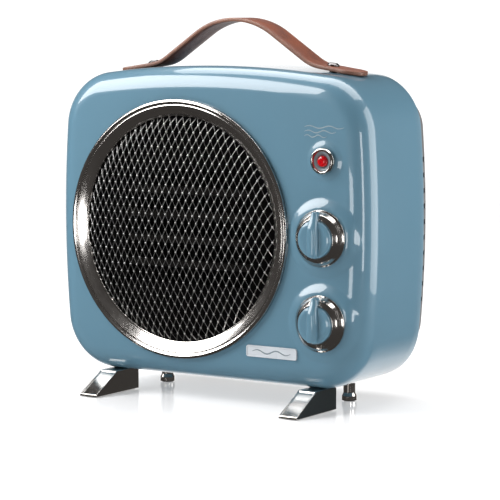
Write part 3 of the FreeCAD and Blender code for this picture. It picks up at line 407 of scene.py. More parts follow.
def rounded(points, radii, steps=6):
    """An open outline with each inner corner replaced by an arc of the given radius."""
    result = [np.array(points[0], float)]
    for before, corner, after, radius in zip(points, points[1:], points[2:], radii):
        before, corner, after = (np.array(point, float) for point in (before, corner, after))
        inward = (before - corner) / np.linalg.norm(before - corner)
        outward = (after - corner) / np.linalg.norm(after - corner)
        half = math.acos(float(np.clip(inward @ outward, -1.0, 1.0))) / 2
        if radius <= 0 or abs(half - math.pi / 2) < 1e-4:
            result.append(corner)
            continue
        reach = radius / math.tan(half)
        bisector = (inward + outward) / np.linalg.norm(inward + outward)
        centre = corner + bisector * radius / math.sin(half)
        start = corner + inward * reach - centre
        end = corner + outward * reach - centre
        sweep = math.pi - 2 * half
        for index in range(steps + 1):
            share = index / steps
            mix = (math.sin((1 - share) * sweep) * start + math.sin(share * sweep) * end)
            result.append(centre + mix / math.sin(sweep))
    result.append(np.array(points[-1], float))
    return result


def lathe(name, profile, centre, body, slot, axis="front", count=128, base=0.0):
    """Turn a profile of (radius, out) about an axis that faces the front, or up."""
    points = []
    angles = np.linspace(0, 2 * math.pi, count, endpoint=False)
    for radius, out in profile:
        for angle in angles:
            across = radius * math.cos(angle)
            along = radius * math.sin(angle)
            if axis == "front":
                points.append((centre[0] + across, base - out, centre[1] + along))
            else:
                points.append((centre[0] + across, centre[1] + along, base + out))
    faces = ring_faces(len(profile), count)
    if profile[0][0] > 0.01 and profile[-1][0] > 0.01:
        last = (len(profile) - 1) * count
        for step in range(count):
            following = (step + 1) % count
            faces.append((last + step, last + following, following, step))
    piece = add_piece(name, points, faces, body, slot)
    weld(piece)
    return piece


def weld(piece):
    """Join points that fall together, such as those on a turned piece's axis."""
    work = bmesh.new()
    work.from_mesh(piece.data)
    bmesh.ops.remove_doubles(work, verts=work.verts, dist=1e-6)
    bmesh.ops.recalc_face_normals(work, faces=work.faces)
    work.to_mesh(piece.data)
    work.free()


def soften(piece, width, segments, angle):
    """Round the hard edges of a piece and keep its flat faces flat."""
    bevel = piece.modifiers.new("soft_edges", "BEVEL")
    bevel.width = width * MM
    bevel.segments = segments
    bevel.limit_method = "ANGLE"
    bevel.angle_limit = math.radians(angle)
    bevel.harden_normals = True


# ---------------------------------------------------------------------------------------------
# Case


def case_outline(inset, steps=700):
    """Points of the case outline in the front view, each side moved inwards by the inset."""
    middle = (CASE_LOW_Z + CASE_HIGH_Z) / 2
    top_z = CASE_HIGH_Z - TOP_CROWN
    side_x = CASE_HALF - SIDE_CROWN
    top_reach = TOP_CROWN - CORNER_RADIUS
    side_reach = SIDE_CROWN - CORNER_RADIUS
    gap = np.array([side_x, middle - top_z])
    span = np.linalg.norm(gap)
    along = (top_reach ** 2 - side_reach ** 2 + span ** 2) / (2 * span)
    across = math.sqrt(top_reach ** 2 - along ** 2)
    unit = gap / span
    upper = np.array([0.0, top_z]) + along * unit + across * np.array([unit[1], -unit[0]])
    lower_z = CASE_LOW_Z + CORNER_RADIUS
    lower = np.array([side_x + math.sqrt(side_reach ** 2 - (lower_z - middle) ** 2), lower_z])
    side_low = math.atan2(lower[1] - middle, lower[0] - side_x)
    side_high = math.atan2(upper[1] - middle, upper[0] - side_x)
    top_start = math.atan2(upper[1] - top_z, upper[0])

    def arc(centre, radius, start, end):
        angles = np.linspace(start, end, steps)
        reach = radius - inset
        return np.stack([centre[0] + reach * np.cos(angles), centre[1] + reach * np.sin(angles)], 1)

    right = np.concatenate([
        arc(lower, CORNER_RADIUS, -math.pi / 2, side_low),
        arc((side_x, middle), SIDE_CROWN, side_low, side_high),
        arc(upper, CORNER_RADIUS, side_high, top_start),
        arc((0.0, top_z), TOP_CROWN, top_start, math.pi / 2),
    ])
    left = right[::-1] * np.array([-1.0, 1.0])
    base = np.linspace(left[-1], right[0], steps)
    return np.concatenate([right, left, base])


def reach_table(inset):
    """How far the outline lies from the outlet's middle along each of the case mesh's rays."""
    around = case_outline(inset) - np.array(OUTLET)
    angles = np.unwrap(np.arctan2(around[:, 1], around[:, 0]))
    order = np.argsort(np.mod(angles, 2 * math.pi))
    wrapped = np.mod(angles, 2 * math.pi)[order]
    reach = np.hypot(around[:, 0], around[:, 1])[order]
    return np.interp(RAY_ANGLES, wrapped, reach, period=2 * math.pi)


def raised_depth(x, z, depth):
    """Depth of the front surface with the shallow swellings round the knobs and the lamp."""
    swellings = (
        (THERMOSTAT, DOME_RADIUS, DOME_HEIGHT, DOME_FLAT),
        (SELECTOR, DOME_RADIUS, DOME_HEIGHT, DOME_FLAT),
        (LAMP, LAMP_DOME_RADIUS, LAMP_DOME_HEIGHT, LAMP_DOME_FLAT),
    )
    for centre, radius, height, flat in swellings:
        away = np.hypot(x - centre[0], z - centre[1])
        share = np.clip((radius - away) / (radius - flat), 0, 1)
        depth = depth - height * np.sin(share * math.pi / 2) ** 1.2
    return depth


def case_front():
    """Blue case half as rows of points along rays from the outlet, front to seam."""
    cosines = np.cos(RAY_ANGLES)
    sines = np.sin(RAY_ANGLES)
    flat_edge = reach_table(FRONT_ROUND)
    rows = []

    def add_row(reach, depth, swollen=True):
        x = OUTLET[0] + reach * cosines
        z = OUTLET[1] + reach * sines
        level = np.full(RAYS, float(depth))
        if swollen:
            level = raised_depth(x, z, level)
        rows.append(np.stack([x, FRONT_Y + level, z], 1))

    opening = np.full(RAYS, OPENING_RADIUS)
    add_row(opening, 6.0, False)
    for share in np.linspace(0, 1, 5):
        turn = share * math.pi / 2
        reach = opening + EDGE_ROUND * (1 - math.cos(turn))
        add_row(reach, EDGE_ROUND * (1 - math.sin(turn)), False)
    for share in np.linspace(0, 1, 72)[1:]:
        start = OPENING_RADIUS + EDGE_ROUND
        add_row(start + (flat_edge - start) * share, 0.0)
    for turn in np.linspace(0, math.pi / 2, 19)[1:]:
        inset = FRONT_ROUND * (1 - math.sin(turn))
        add_row(reach_table(inset), FRONT_ROUND * (1 - math.cos(turn)))
    depth = SEAM_Y - FRONT_Y
    edge = reach_table(0.0)
    for level in np.linspace(FRONT_ROUND, depth - EDGE_ROUND, 8)[1:]:
        add_row(edge, level)
    for turn in np.linspace(0, math.pi / 2, 5)[1:]:
        inset = EDGE_ROUND * (1 - math.cos(turn))
        add_row(reach_table(inset), depth - EDGE_ROUND + EDGE_ROUND * math.sin(turn), False)
    add_row(reach_table(3.0), depth, False)
    points = np.concatenate(rows)
    piece = add_piece("case_front", points, ring_faces(len(rows), RAYS), "housing", "case_blue")
    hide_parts("front_shell")


# ---------------------------------------------------------------------------------------------
# Outlet


def outlet_bezel():
    """Chrome ring: round outer bead, fine groove and a broad flange that curves inwards."""
    outer = box_mm("bezel_ring")[1][0] - OUTLET[0]
    rise = FRONT_Y - box_mm("bezel_ring")[0][1]
    profile = rounded([
        (outer, 0.0),
        (outer, rise * 0.75),
        (outer - 1.7, rise),
        (outer - 3.3, rise * 0.8),
        (outer - 3.8, rise * 0.62),
        (outer - 4.6, rise * 0.72),
        (outer - 9.0, rise * 0.30),
        (MESH_RADIUS + 0.9, -0.6),
        (MESH_RADIUS + 0.4, -1.6),
        (MESH_RADIUS + 0.4, -5.5),
        (OPENING_RADIUS - 0.2, -5.5),
        (OPENING_RADIUS - 0.2, 0.0),
    ], [0.9, 1.0, 0.6, 0.3, 0.5, 12.0, 0.5, 0.5, 0.3, 0.3])
    piece = lathe("outlet_bezel", profile, OUTLET, "housing", "chrome", count=256, base=FRONT_Y)
    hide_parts("bezel_ring")


def dome(radius):
    """How far the guard stands out at a distance from its middle: a crown with a steep rim."""
    share = np.minimum(radius / MESH_RADIUS, 1.0)
    rim = np.clip((share - 0.90) / 0.10, 0, 1)
    return MESH_RISE * (1 - share ** 2.3) - 2.2 * rim ** 2


def on_dome(x, z):
    """The point of the guard's dome at x and z from the outlet's middle."""
    return np.array([OUTLET[0] + x, FRONT_Y - float(dome(math.hypot(x, z))), OUTLET[1] + z])


def strand(points, faces, start, end, tilt):
    """One bar of the lattice from knot to knot, leaning like a slit and stretched strand."""
    middle = (start + end) / 2
    middle = on_dome(middle[0] - OUTLET[0], middle[2] - OUTLET[1])
    along = (end - start) / np.linalg.norm(end - start)
    outward = np.array([0.0, -1.0, 0.0])
    side = np.cross(along, outward)
    side /= np.linalg.norm(side)
    lean = math.radians(tilt)
    width = (side * math.cos(lean) + outward * math.sin(lean)) * STRAND_WIDTH / 2
    depth = (outward * math.cos(lean) - side * math.sin(lean)) * STRAND_DEPTH / 2
    first = len(points)
    for place in (start, middle, end):
        points += [place + width + depth, place - width + depth, place - width - depth,
                   place + width - depth]
    for row in (0, 4):
        for step in range(4):
            following = (step + 1) % 4
            faces.append((first + row + step, first + row + following,
                          first + row + 4 + following, first + row + 4 + step))
    faces.append((first, first + 1, first + 2, first + 3))
    faces.append((first + 8, first + 9, first + 10, first + 11))


def knot(points, faces, centre):
    """The rounded lump of metal where four strands meet."""
    rings = ((0.55, 0.84), (0.9, 0.30), (1.0, -0.35))
    first = len(points)
    count = 8
    points.append(centre + np.array([0.0, -KNOT_RADIUS * 0.9, 0.0]))
    for reach, level in rings:
        for step in range(count):
            angle = 2 * math.pi * step / count
            points.append(centre + KNOT_RADIUS * np.array([
                reach * math.cos(angle), -level * 0.9, reach * 1.15 * math.sin(angle)]))
    points.append(centre + np.array([0.0, KNOT_RADIUS * 0.8, 0.0]))
    last = len(points) - 1
    for step in range(count):
        following = (step + 1) % count
        faces.append((first, first + 1 + step, first + 1 + following))
        faces.append((last, last - count + following, last - count + step))
        for row in range(len(rings) - 1):
            low = first + 1 + row * count
            faces.append((low + step, low + count + step, low + count + following, low + following))


def outlet_guard():
    """Expanded-metal guard: diamond lattice laid over the dome and cut off at the rim."""
    points = []
    faces = []
    kinds = []
    half_width = DIAMOND_WIDTH / 2
    half_height = DIAMOND_HEIGHT / 2
    columns = int(MESH_RADIUS / half_width) + 2
    rows = int(MESH_RADIUS / half_height) + 2

    def inside(x, z):
        return math.hypot(x, z) < MESH_RADIUS - 0.4

    for row in range(-rows, rows + 1):
        for column in range(-columns, columns + 1):
            if (row + column) % 2:
                continue
            x = column * half_width
            z = row * half_height
            if inside(x, z):
                knot(points, faces, on_dome(x, z))
                kinds += [0] * (len(faces) - len(kinds))
            for side in (-1, 1):
                x_next = x + side * half_width
                z_next = z + half_height
                ends = [(x, z), (x_next, z_next)]
                kept = clip_to_rim(ends)
                if kept:
                    strand(points, faces, on_dome(*kept[0]), on_dome(*kept[1]), side * STRAND_LEAN)
                    kinds += [1] * (len(faces) - len(kinds))
    # Knots take the painted-highlight colour, strands the painted-shade colour.
    piece = add_piece("outlet_guard", points, faces, "housing", "mesh_silver",
                      ["mesh_silver", "mesh_strand_painted_shade"], smooth=False)
    for polygon in piece.data.polygons:
        polygon.material_index = kinds[polygon.index]
    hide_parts("front_mesh")


def clip_to_rim(ends):
    """The part of a strand that lies inside the guard's rim, or None."""
    first, last = (np.array(end) for end in ends)
    limit = MESH_RADIUS - 0.1
    outside = [np.linalg.norm(first) > limit, np.linalg.norm(last) > limit]
    if all(outside):
        return None
    if any(outside):
        inner, outer = (last, first) if outside[0] else (first, last)
        low, high = 0.0, 1.0
        for _ in range(20):
            share = (low + high) / 2
            if np.linalg.norm(inner + (outer - inner) * share) > limit:
                high = share
            else:
                low = share
        first, last = inner, inner + (outer - inner) * low
    if np.linalg.norm(last - first) < 0.5:
        return None
    return first, last


# ---------------------------------------------------------------------------------------------
# Controls


def knob_skirt(name, centre, node, body):
    """Chrome skirt: thin base lip, broad convex band and a small step round the cap."""
    low, high = box_mm(node)
    base = high[1]
    height = high[1] - low[1]
    radius = (high[0] - low[0]) / 2
    cap = 14.0
    profile = rounded([
        (3.2, 0.0),
        (radius, 0.0),
        (radius, 1.2),
        (radius - 0.7, 1.9),
        (radius - 1.4, 2.6),
        (radius - 3.2, height * 0.72),
        (cap + 1.3, height),
        (cap + 0.2, height),
        (cap + 0.2, height - 1.8),
        (3.2, height - 1.8),
    ], [0.3, 0.3, 0.3, 0.5, 5.0, 0.5, 0.3, 0.1], 5)
    piece = lathe(name, profile, centre, body, "chrome", base=base)
    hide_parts(node)


def knob_cap(name, centre, node, skirt_node, body):
    """Blue cap: shallow disc with a rounded finger bar that runs on as a pointer to the rim."""
    low, high = box_mm(node)
    skirt_low, skirt_high = box_mm(skirt_node)
    base = high[1]
    rim = skirt_low[1]
    cap = (high[0] - low[0]) / 2
    skirt = (skirt_high[0] - skirt_low[0]) / 2
    face = base - rim + 2.4
    disc = lathe(name + "_disc", rounded([
        (0.0, 0.0),
        (cap, 0.0),
        (cap, face - 0.4),
        (cap - 2.6, face + 0.4),
        (0.0, face),
    ], [0.2, 1.3, 3.0]), centre, body, "cap_blue", base=base)
    bar = finger_bar(name + "_bar", centre, base - face + 0.8, base - face - low[1],
                     cap, skirt, body)
    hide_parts(node)
    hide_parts(node)


def finger_bar(name, centre, root, height, cap, skirt, body):
    """Rounded ridge across the cap; past the cap's edge it slopes down over the chrome skirt."""
    start = -cap + 0.9
    end = skirt - 0.8
    stations = np.linspace(0, 1, 49)
    turns = np.linspace(0, math.pi, 17)
    points = []
    for share in stations:
        along = start + share * (end - start)
        half = float(np.interp(along, BAR_PLACES, BAR_HALF_WIDTHS))
        crest = height + 0.8
        if along > cap - 7.0:
            fall = min(1.0, (along - (cap - 7.0)) / (end - cap + 7.0))
            crest -= (height + 0.4) * fall * fall * (3 - 2 * fall) * 0.82
        if along < start + 2.4:
            rest = (start + 2.4 - along) / 2.4
            crest -= (height * 0.5) * (1 - math.sqrt(max(0.0, 1 - rest * rest)))
        blunt = math.sqrt(max(0.0, min(1.0, (end - along) / 1.4)))
        half *= 0.35 + 0.65 * blunt
        drop = max(0.0, along - cap + 1.0) * 0.62
        for turn in turns:
            side = math.cos(turn)
            lift = math.sin(turn) ** 0.75
            across = math.copysign(abs(side) ** 0.7, side) * half
            y = root + drop - lift * (crest + drop)
            points.append((centre[0] + across, y, centre[1] + along))
    count = len(turns)
    faces = ring_faces(len(stations), count)
    last = (len(stations) - 1) * count
    faces += [tuple(range(count)), tuple(last + index for index in range(count))]
    return add_piece(name, points, faces, body, "cap_blue")


def pilot_lamp():
    """Chrome bezel, grey dished surround and a red domed lens."""
    low, high = box_mm("lamp_bezel")
    radius = (high[0] - low[0]) / 2
    bezel = lathe("lamp_ring", rounded([
        (radius - 2.9, -1.9),
        (radius, -1.6),
        (radius, 0.8),
        (radius - 0.9, LAMP_RING_HEIGHT),
        (radius - 2.0, LAMP_RING_HEIGHT),
        (radius - 2.9, 0.8),
    ], [0.3, 0.7, 0.8, 0.7]), LAMP, "housing", "chrome", base=LAMP_SEAT_Y)
    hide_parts("lamp_bezel")
    surround = lathe("lamp_dish", rounded([
        (4.3, -2.2),
        (radius - 2.9, -1.9),
        (radius - 2.9, 0.7),
        (radius - 3.6, 0.6),
        (4.4, -0.5),
    ], [0.2, 0.2, 0.6]), LAMP, "housing", "lamp_grey", base=LAMP_SEAT_Y)
    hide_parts("lamp_surround")
    lens = lathe("lamp_cap", rounded([
        (0.0, -2.2),
        (4.2, -2.2),
        (4.2, 0.9),
        (2.6, 2.1),
        (0.0, 2.2),
    ], [0.1, 1.4, 1.5]), LAMP, "housing", "lens_red", count=64, base=LAMP_SEAT_Y)
    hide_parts("lamp_lens")


def rounded_rectangle(centre, width, height, radius, steps=8):
    """Corner-rounded rectangle in the front view, counter-clockwise."""
    outline = []
    corners = ((1, 1, 0), (-1, 1, 90), (-1, -1, 180), (1, -1, 270))
    for side, level, start in corners:
        middle_x = centre[0] + side * (width / 2 - radius)
        middle_z = centre[1] + level * (height / 2 - radius)
        for step in range(steps + 1):
            angle = math.radians(start + 90 * step / steps)
            outline.append((middle_x + radius * math.cos(angle),
                            middle_z + radius * math.sin(angle)))
    return outline


def wave_strip(name, start_x, level, length, swing, width, out, slot):
    """A thin raised wavy line, used as a plain warm-air ornament."""
    samples = np.linspace(0, 1, 49)
    points = []
    for share in samples:
        x = start_x + share * length
        z = level + swing * math.sin(share * 4 * math.pi)
        half = width / 2 * math.sin(math.pi * min(max(share, 0.03), 0.97)) ** 0.35
        for across, rise in ((-half, 0.0), (-half * 0.5, 0.14), (half * 0.5, 0.14), (half, 0.0)):
            points.append((x, FRONT_Y - out - rise, z + across))
    faces = ring_faces(len(samples), 4)
    faces += [(0, 1, 2, 3), tuple(4 * (len(samples) - 1) + index for index in range(4))]
    return add_piece(name, points, faces, "housing", slot)


def badge():
    """Blank silver plate with a raised rim; one wavy line stands in for any lettering."""
    low, high = box_mm("badge_plate")
    width = high[0] - low[0]
    height = high[2] - low[2]
    corner = 1.8
    rings = ((0.0, 0.0), (0.0, 1.0), (0.25, 1.25), (0.85, 1.25), (1.15, 0.8))
    points = []
    for inset, out in rings:
        outline = rounded_rectangle(BADGE, width - 2 * inset, height - 2 * inset, corner - inset)
        points += [(x, FRONT_Y - out, z) for x, z in outline]
    count = len(points) // len(rings)
    faces = ring_faces(len(rings), count)
    faces.append(tuple(range((len(rings) - 1) * count, len(rings) * count)))
    piece = add_piece("badge", points, faces, "housing", "badge_silver", smooth=False)
    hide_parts("badge_plate")
    wave = 34.0
    wave_strip("badge_wave", BADGE[0] - wave / 2, BADGE[1], wave, 1.3, 1.2, 0.8, "lamp_grey")


def printed_waves():
    """Small silver warm-air motif above the lamp."""
    start = LAMP[0] - 17.5
    for index, (length, level) in enumerate(((34.0, 215.4), (27.0, 212.0), (19.0, 208.6))):
        wave = wave_strip(f"printed_wave_{index + 1}", start, level, length, 0.9, 0.8, 0.0,
                          "badge_silver")
        wave.data.materials[0] = MATERIALS["print_silver"]


# ---------------------------------------------------------------------------------------------
# Strap handle


def strap_line():
    """Middle line of the strap as (x, z, rise angle), from left tip to right tip."""
    high = box_mm("strap")[1]
    reach = high[0] - STRAP_GAUGE / 2 * math.sin(math.radians(STRAP_TILT))
    slope = math.radians(STRAP_SLOPE)
    tilt = math.radians(STRAP_TILT)
    rise = high[2] - STRAP_GAUGE / 2 - STRAP_LEVEL
    crest_end = STRAP_CREST * math.sin(slope)
    crest_low = rise - STRAP_CREST * (1 - math.cos(slope))
    bend_across = STRAP_BEND * (math.sin(slope) - math.sin(tilt))
    bend_up = STRAP_BEND * (math.cos(tilt) - math.cos(slope))
    height = crest_low - STUD_X * math.tan(tilt) - bend_up
    height += math.tan(slope) * (bend_across + crest_end)
    bend_start = height / (math.tan(slope) - math.tan(tilt))
    start_up = (STUD_X - bend_start) * math.tan(tilt)
    middle_x = bend_start + STRAP_BEND * math.sin(tilt)
    middle_up = start_up + STRAP_BEND * math.cos(tilt)
    half = []
    for away in (0.0, 0.15, 0.5, 1.1, 2.0, 3.2, 5.0, 7.0, 9.5, 12.0, 16.0, 20.0, 25.0):
        x = reach - away * math.cos(tilt)
        half.append((x, (STUD_X - x) * math.tan(tilt), tilt))
    for turn in np.linspace(tilt, slope, 10):
        half.append((middle_x - STRAP_BEND * math.sin(turn),
                     middle_up - STRAP_BEND * math.cos(turn), turn))
    start_x, start_z = half[-1][:2]
    for share in np.linspace(0, 1, 8)[1:]:
        half.append((start_x + (crest_end - start_x) * share,
                     start_z + (crest_low - start_z) * share, slope))
    for turn in np.linspace(slope, 0, 14)[1:]:
        half.append((STRAP_CREST * math.sin(turn), rise - STRAP_CREST * (1 - math.cos(turn)), turn))
    right = [(x, STRAP_LEVEL + z, turn) for x, z, turn in half]
    left = [(-x, z, -turn) for x, z, turn in right]
    return left + right[::-1][1:]


def strap_width_share(x, reach, width):
    """Half width of the strap at x: full along its length, rounded off at the tips."""
    from_tip = reach - abs(x)
    tip = width / 2 - 0.5
    if from_tip >= tip:
        return width / 2
    return width / 2 * math.sqrt(max(0.0, 1 - ((tip - from_tip) / (tip + 0.4)) ** 2)) + 0.4


def leather_strap():
    """Leather strap with rolled edges, a darker inside and a pressed line along each side."""
    low, high = box_mm("strap")
    width = high[1] - low[1]
    middle_y = (low[1] + high[1]) / 2
    section = strap_section()
    points = []
    line = strap_line()
    reach = line[-1][0]
    for x, z, turn in line:
        half = strap_width_share(x, reach, width)
        across = np.array([math.sin(turn), math.cos(turn)])
        for side, up, _ in section:
            y = middle_y + side * half
            if abs(side) > 0.9:
                y = middle_y + math.copysign(half - (1 - abs(side)) * width / 2, side)
            points.append((x + across[0] * up, y, z + across[1] * up))
    count = len(section)
    faces = ring_faces(len(line), count)
    faces += [tuple(range(count)), tuple((len(line) - 1) * count + index for index in range(count))]
    piece = add_piece("leather_strap", points, faces, "housing", "leather_brown",
                      ["leather_brown", "leather_edge", "leather_inside"])
    for index, polygon in enumerate(piece.data.polygons):
        if index < (len(line) - 1) * count:
            polygon.material_index = section[index % count][2]
        else:
            polygon.material_index = 1
    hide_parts("strap")


def strap_section():
    """Cross-section as (side share, height, material): outside, rolled edge, inside, edge."""
    half = STRAP_GAUGE / 2
    top = [0.965, 0.90, 0.86, 0.84, 0.82, 0.78, 0.4, 0.0]
    groove = {0.84: -0.22, 0.86: -0.10, 0.82: -0.10}
    section = [(side, half + groove.get(side, 0.0), 0) for side in top]
    section += [(-side, half + groove.get(side, 0.0), 0) for side in top[-2::-1]]
    section[-1] = (-0.965, half, 1)
    rolled = half * 0.62
    section += [(-0.99, rolled, 1), (-1.0, 0.0, 1), (-0.99, -rolled, 1)]
    section += [(side, -half, 2) for side in (-0.965, -0.5, 0.0, 0.5)]
    section += [(0.965, -half, 1), (0.99, -rolled, 1), (1.0, 0.0, 1), (0.99, rolled, 1)]
    return section


def strap_hardware():
    """Dark domed studs on the leaning strap ends, and bright spacers between strap and case."""
    low, high = box_mm("strap_studs")
    spacer_low, spacer_high = box_mm("strap_spacers")
    head = (high[1] - low[1]) / 2
    centre_y = (low[1] + high[1]) / 2
    collar = (spacer_high[1] - spacer_low[1]) / 2
    tilt = math.radians(STRAP_TILT)
    top = STRAP_LEVEL + STRAP_GAUGE / 2 / math.cos(tilt)
    for side, sign in (("left", -1), ("right", 1)):
        profile = rounded([
            (0.0, -0.3),
            (head, -0.3),
            (head, 1.3),
            (head * 0.62, 2.4),
            (0.0, 2.5),
        ], [0.2, 0.7, 1.2])
        stud = lathe(f"stud_{side}", profile, (0.0, 0.0), "housing", "chrome", "up", 64)
        stud.data.materials[0] = MATERIALS["black_nickel"]
        lean_and_move(stud, sign * tilt, (sign * STUD_X, centre_y, top))
        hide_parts("strap_studs")
        tall = spacer_high[2] - spacer_low[2] + 0.6
        spacer = lathe(f"spacer_{side}", rounded([
            (1.2, 0.0),
            (collar, 0.0),
            (collar * 0.86, tall * 0.5),
            (collar, tall),
            (1.2, tall),
        ], [0.1, 0.5, 0.1]), (sign * STUD_X, centre_y), "housing", "chrome", "up", 64,
            spacer_low[2])
        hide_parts("strap_spacers")


def lean_and_move(piece, angle, place):
    """Lean a piece's mesh about the front-to-back axis and move it to its place."""
    for vertex in piece.data.vertices:
        x, y, z = vertex.co
        vertex.co = (
            x * math.cos(angle) + z * math.sin(angle) + place[0] * MM,
            y + place[1] * MM,
            z * math.cos(angle) - x * math.sin(angle) + place[2] * MM,
        )


# ---------------------------------------------------------------------------------------------
# Feet


def front_foot(side):
    """Chrome wedge foot with painted shade on its outer side and a panel sunk into its slanted
    front.
    """
    node = f"front_foot_{side}"
    low, high = box_mm(node)
    length = high[1] - low[1]
    slant = 28.0
    tip = low[1]
    profile = [
        (tip, low[2]), (tip + length, low[2]), (tip + length, high[2]),
        (tip + slant, high[2]), (tip + 0.5, low[2] + 2.0),
    ]
    count = len(profile)
    points = [(low[0], y, z) for y, z in profile] + [(high[0], y, z) for y, z in profile]
    faces = [tuple(range(count)), tuple(range(2 * count - 1, count - 1, -1))]
    faces += [(i, (i + 1) % count, count + (i + 1) % count, count + i) for i in range(count)]
    piece = add_piece(f"foot_{side}", points, faces, "housing", "chrome",
                      ["chrome", "foot_side_painted_shade"])
    # The outer side face gets the near-black painted shade.
    outer = 1 if side == "right" else 0
    piece.data.polygons[outer].material_index = 1
    sink_panel(piece, 1.7, 0.7)
    soften(piece, 0.55, 4, 25.0)
    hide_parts(node)


def sink_panel(piece, rim, sink):
    """Inset the slanted front face and push the inner panel in."""
    work = bmesh.new()
    work.from_mesh(piece.data)
    slanted = max(work.faces, key=lambda face: min(-face.normal.y, face.normal.z))
    bmesh.ops.inset_region(work, faces=[slanted], thickness=rim * MM)
    bmesh.ops.inset_region(work, faces=[slanted], thickness=0.5 * MM, depth=-sink * MM)
    work.to_mesh(piece.data)
    work.free()


# ---------------------------------------------------------------------------------------------
# Carried-over CAD pieces, floor, light and camera


CARRIED = {
    "rear_cover": "cover_black",
    "intake_grille": "cover_black",
    "cord_gland": "rubber_black",
    # The duct, heater frame, ceramic bars and fin banks take the near-black painted-shade
    # materials.
    "air_duct": "duct_black",
    "heater_frame": "frame_dark",
    "ceramic_bars": "heater_ceramic",
    "fin_banks": "fin_aluminium",
    "thermal_cutout": "steel",
    "fan_rotor": "fan_black",
    "motor_spindle": "steel",
    "fan_motor": "motor_steel",
    "motor_bracket": "steel",
    "thermostat_stem": "steel",
    "selector_stem": "steel",
    "thermostat_switch": "switch_plastic",
    "selector_switch": "switch_plastic",
    "lamp_holder": "switch_plastic",
    "rear_foot_left": "chrome",
    "rear_foot_right": "chrome",
    "front_foot_left_pad": "rubber_black",
    "front_foot_right_pad": "rubber_black",
    "rear_foot_left_pad": "rubber_black",
    "rear_foot_right_pad": "rubber_black",
    "foot_screws": "steel",
    "case_screws": "steel",
}


def dress_carried_nodes():
    """Give the CAD pieces that are shown as they are their materials."""
    for node, key in CARRIED.items():
        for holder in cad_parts[node].material_slots:
            holder.material = MATERIALS[key]


def floor():
    """Round pale floor under and around the heater."""
    steps = 96
    angles = np.linspace(0, 2 * math.pi, steps, endpoint=False)
    rim = [(FLOOR_RADIUS * math.cos(angle), FLOOR_RADIUS * math.sin(angle), 0.0)
           for angle in angles]
    mesh = bpy.data.meshes.new("floor")
    mesh.from_pydata(rim, [], [tuple(range(steps))])
    piece = bpy.data.objects.new("floor", mesh)
    bpy.context.scene.collection.objects.link(piece)
    mesh.materials.append(pale_floor("pale_floor"))
    piece.visible_glossy = False


def softbox(name, place, aim, width, height, power):
    """A rectangular area light that is seen in reflections but not by the camera."""
    data = bpy.data.lights.new(name, "AREA")
    data.shape = "RECTANGLE"
    data.size = width
    data.size_y = height
    data.energy = power
    light = bpy.data.objects.new(name, data)
    light.location = place
    light.rotation_euler = (Vector(place) - Vector(aim)).to_track_quat("Z", "Y").to_euler()
    light.visible_camera = False
    bpy.context.scene.collection.objects.link(light)


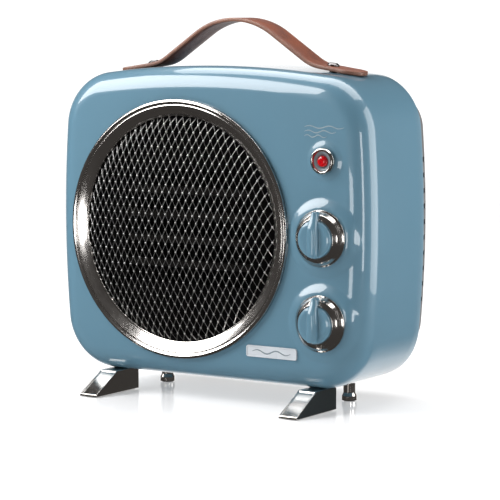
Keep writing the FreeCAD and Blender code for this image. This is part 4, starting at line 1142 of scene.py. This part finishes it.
def studio():
    """White horizon behind, dark room in front, and softboxes that shape the reflections."""
    bpy.context.scene.view_settings.view_transform = "Standard"
    world = bpy.data.worlds.new("studio")
    bpy.context.scene.world = world
    world.use_nodes = True
    tree = world.node_tree
    background = tree.nodes["Background"]
    place = tree.nodes.new("ShaderNodeTexCoord")
    split = tree.nodes.new("ShaderNodeSeparateXYZ")
    tree.links.new(place.outputs["Generated"], split.inputs["Vector"])
    low = ramp_between(tree, split.outputs["Z"], 0.26, 0.10)
    behind = ramp_between(tree, split.outputs["Y"], 0.35, 0.65)
    leftward = ramp_between(tree, split.outputs["X"], 0.40, 0.10)
    horizon = combine(tree, "MULTIPLY", low, combine(tree, "MULTIPLY", behind, leftward))
    path = tree.nodes.new("ShaderNodeLightPath")
    white = combine(tree, "MAXIMUM", horizon, path.outputs["Is Camera Ray"])
    ramp = tree.nodes.new("ShaderNodeValToRGB")
    ramp.color_ramp.elements[0].color = (0.045, 0.042, 0.040, 1.0)
    ramp.color_ramp.elements[1].color = (1.0, 1.0, 1.0, 1.0)
    tree.links.new(white, ramp.inputs["Fac"])
    tree.links.new(ramp.outputs["Color"], background.inputs["Color"])
    background.inputs["Strength"].default_value = 1.15
    aim = (0.0, 0.0, 0.14)
    softbox("top_box", (0.0, 0.20, 1.10), aim, 1.4, 0.7, 14.0)
    softbox("band_box", (-0.66, -0.62, 0.75), (0.0, -0.05, 0.20), 0.80, 0.80, 17.0)
    softbox("strip_box", (0.53, 0.14, 0.29), (0.14, -0.03, 0.29), 0.34, 0.56, 2.2)
    softbox("left_ring_box", (0.10, -1.20, 0.02), aim, 0.36, 0.22, 1.6)
    softbox("knob_box", (0.98, -0.66, 0.12), (0.10, -0.08, 0.10), 0.16, 0.34, 1.3)


def combine(tree, operation, first, second):
    """Two numbers joined by a math operation."""
    node = tree.nodes.new("ShaderNodeMath")
    node.operation = operation
    tree.links.new(first, node.inputs[0])
    tree.links.new(second, node.inputs[1])
    return node.outputs["Value"]


def ramp_between(tree, source, start, end):
    """A number that rises from 0 at start to 1 at end, and stays between them."""
    node = tree.nodes.new("ShaderNodeMapRange")
    node.inputs["From Min"].default_value = start
    node.inputs["From Max"].default_value = end
    tree.links.new(source, node.inputs["Value"])
    return node.outputs["Result"]


def camera():
    """Camera at its azimuth and elevation round the target, with a long lens."""
    azimuth = math.radians(VIEW_AZIMUTH)
    elevation = math.radians(VIEW_ELEVATION)
    back = Vector((
        math.sin(azimuth) * math.cos(elevation),
        -math.cos(azimuth) * math.cos(elevation),
        math.sin(elevation),
    ))
    data = bpy.data.cameras.new("camera")
    data.lens = VIEW_LENS
    data.sensor_width = SENSOR
    data.clip_start = 0.05
    data.clip_end = 50.0
    viewer = bpy.data.objects.new("camera", data)
    viewer.location = Vector(VIEW_TARGET) * MM + back * VIEW_DISTANCE * MM
    viewer.rotation_euler = back.to_track_quat("Z", "Y").to_euler()
    bpy.context.scene.collection.objects.link(viewer)
    bpy.context.scene.camera = viewer


case_front()
outlet_bezel()
outlet_guard()
for control, centre in (("thermostat", THERMOSTAT), ("selector", SELECTOR)):
    knob_skirt(f"{control}_skirt", centre, f"{control}_knob_skirt", f"{control}_knob")
    knob_cap(f"{control}_cap", centre, f"{control}_knob_cap", f"{control}_knob_skirt",
             f"{control}_knob")
pilot_lamp()
badge()
printed_waves()
leather_strap()
strap_hardware()
front_foot("left")
front_foot("right")
dress_carried_nodes()
floor()
studio()
camera()
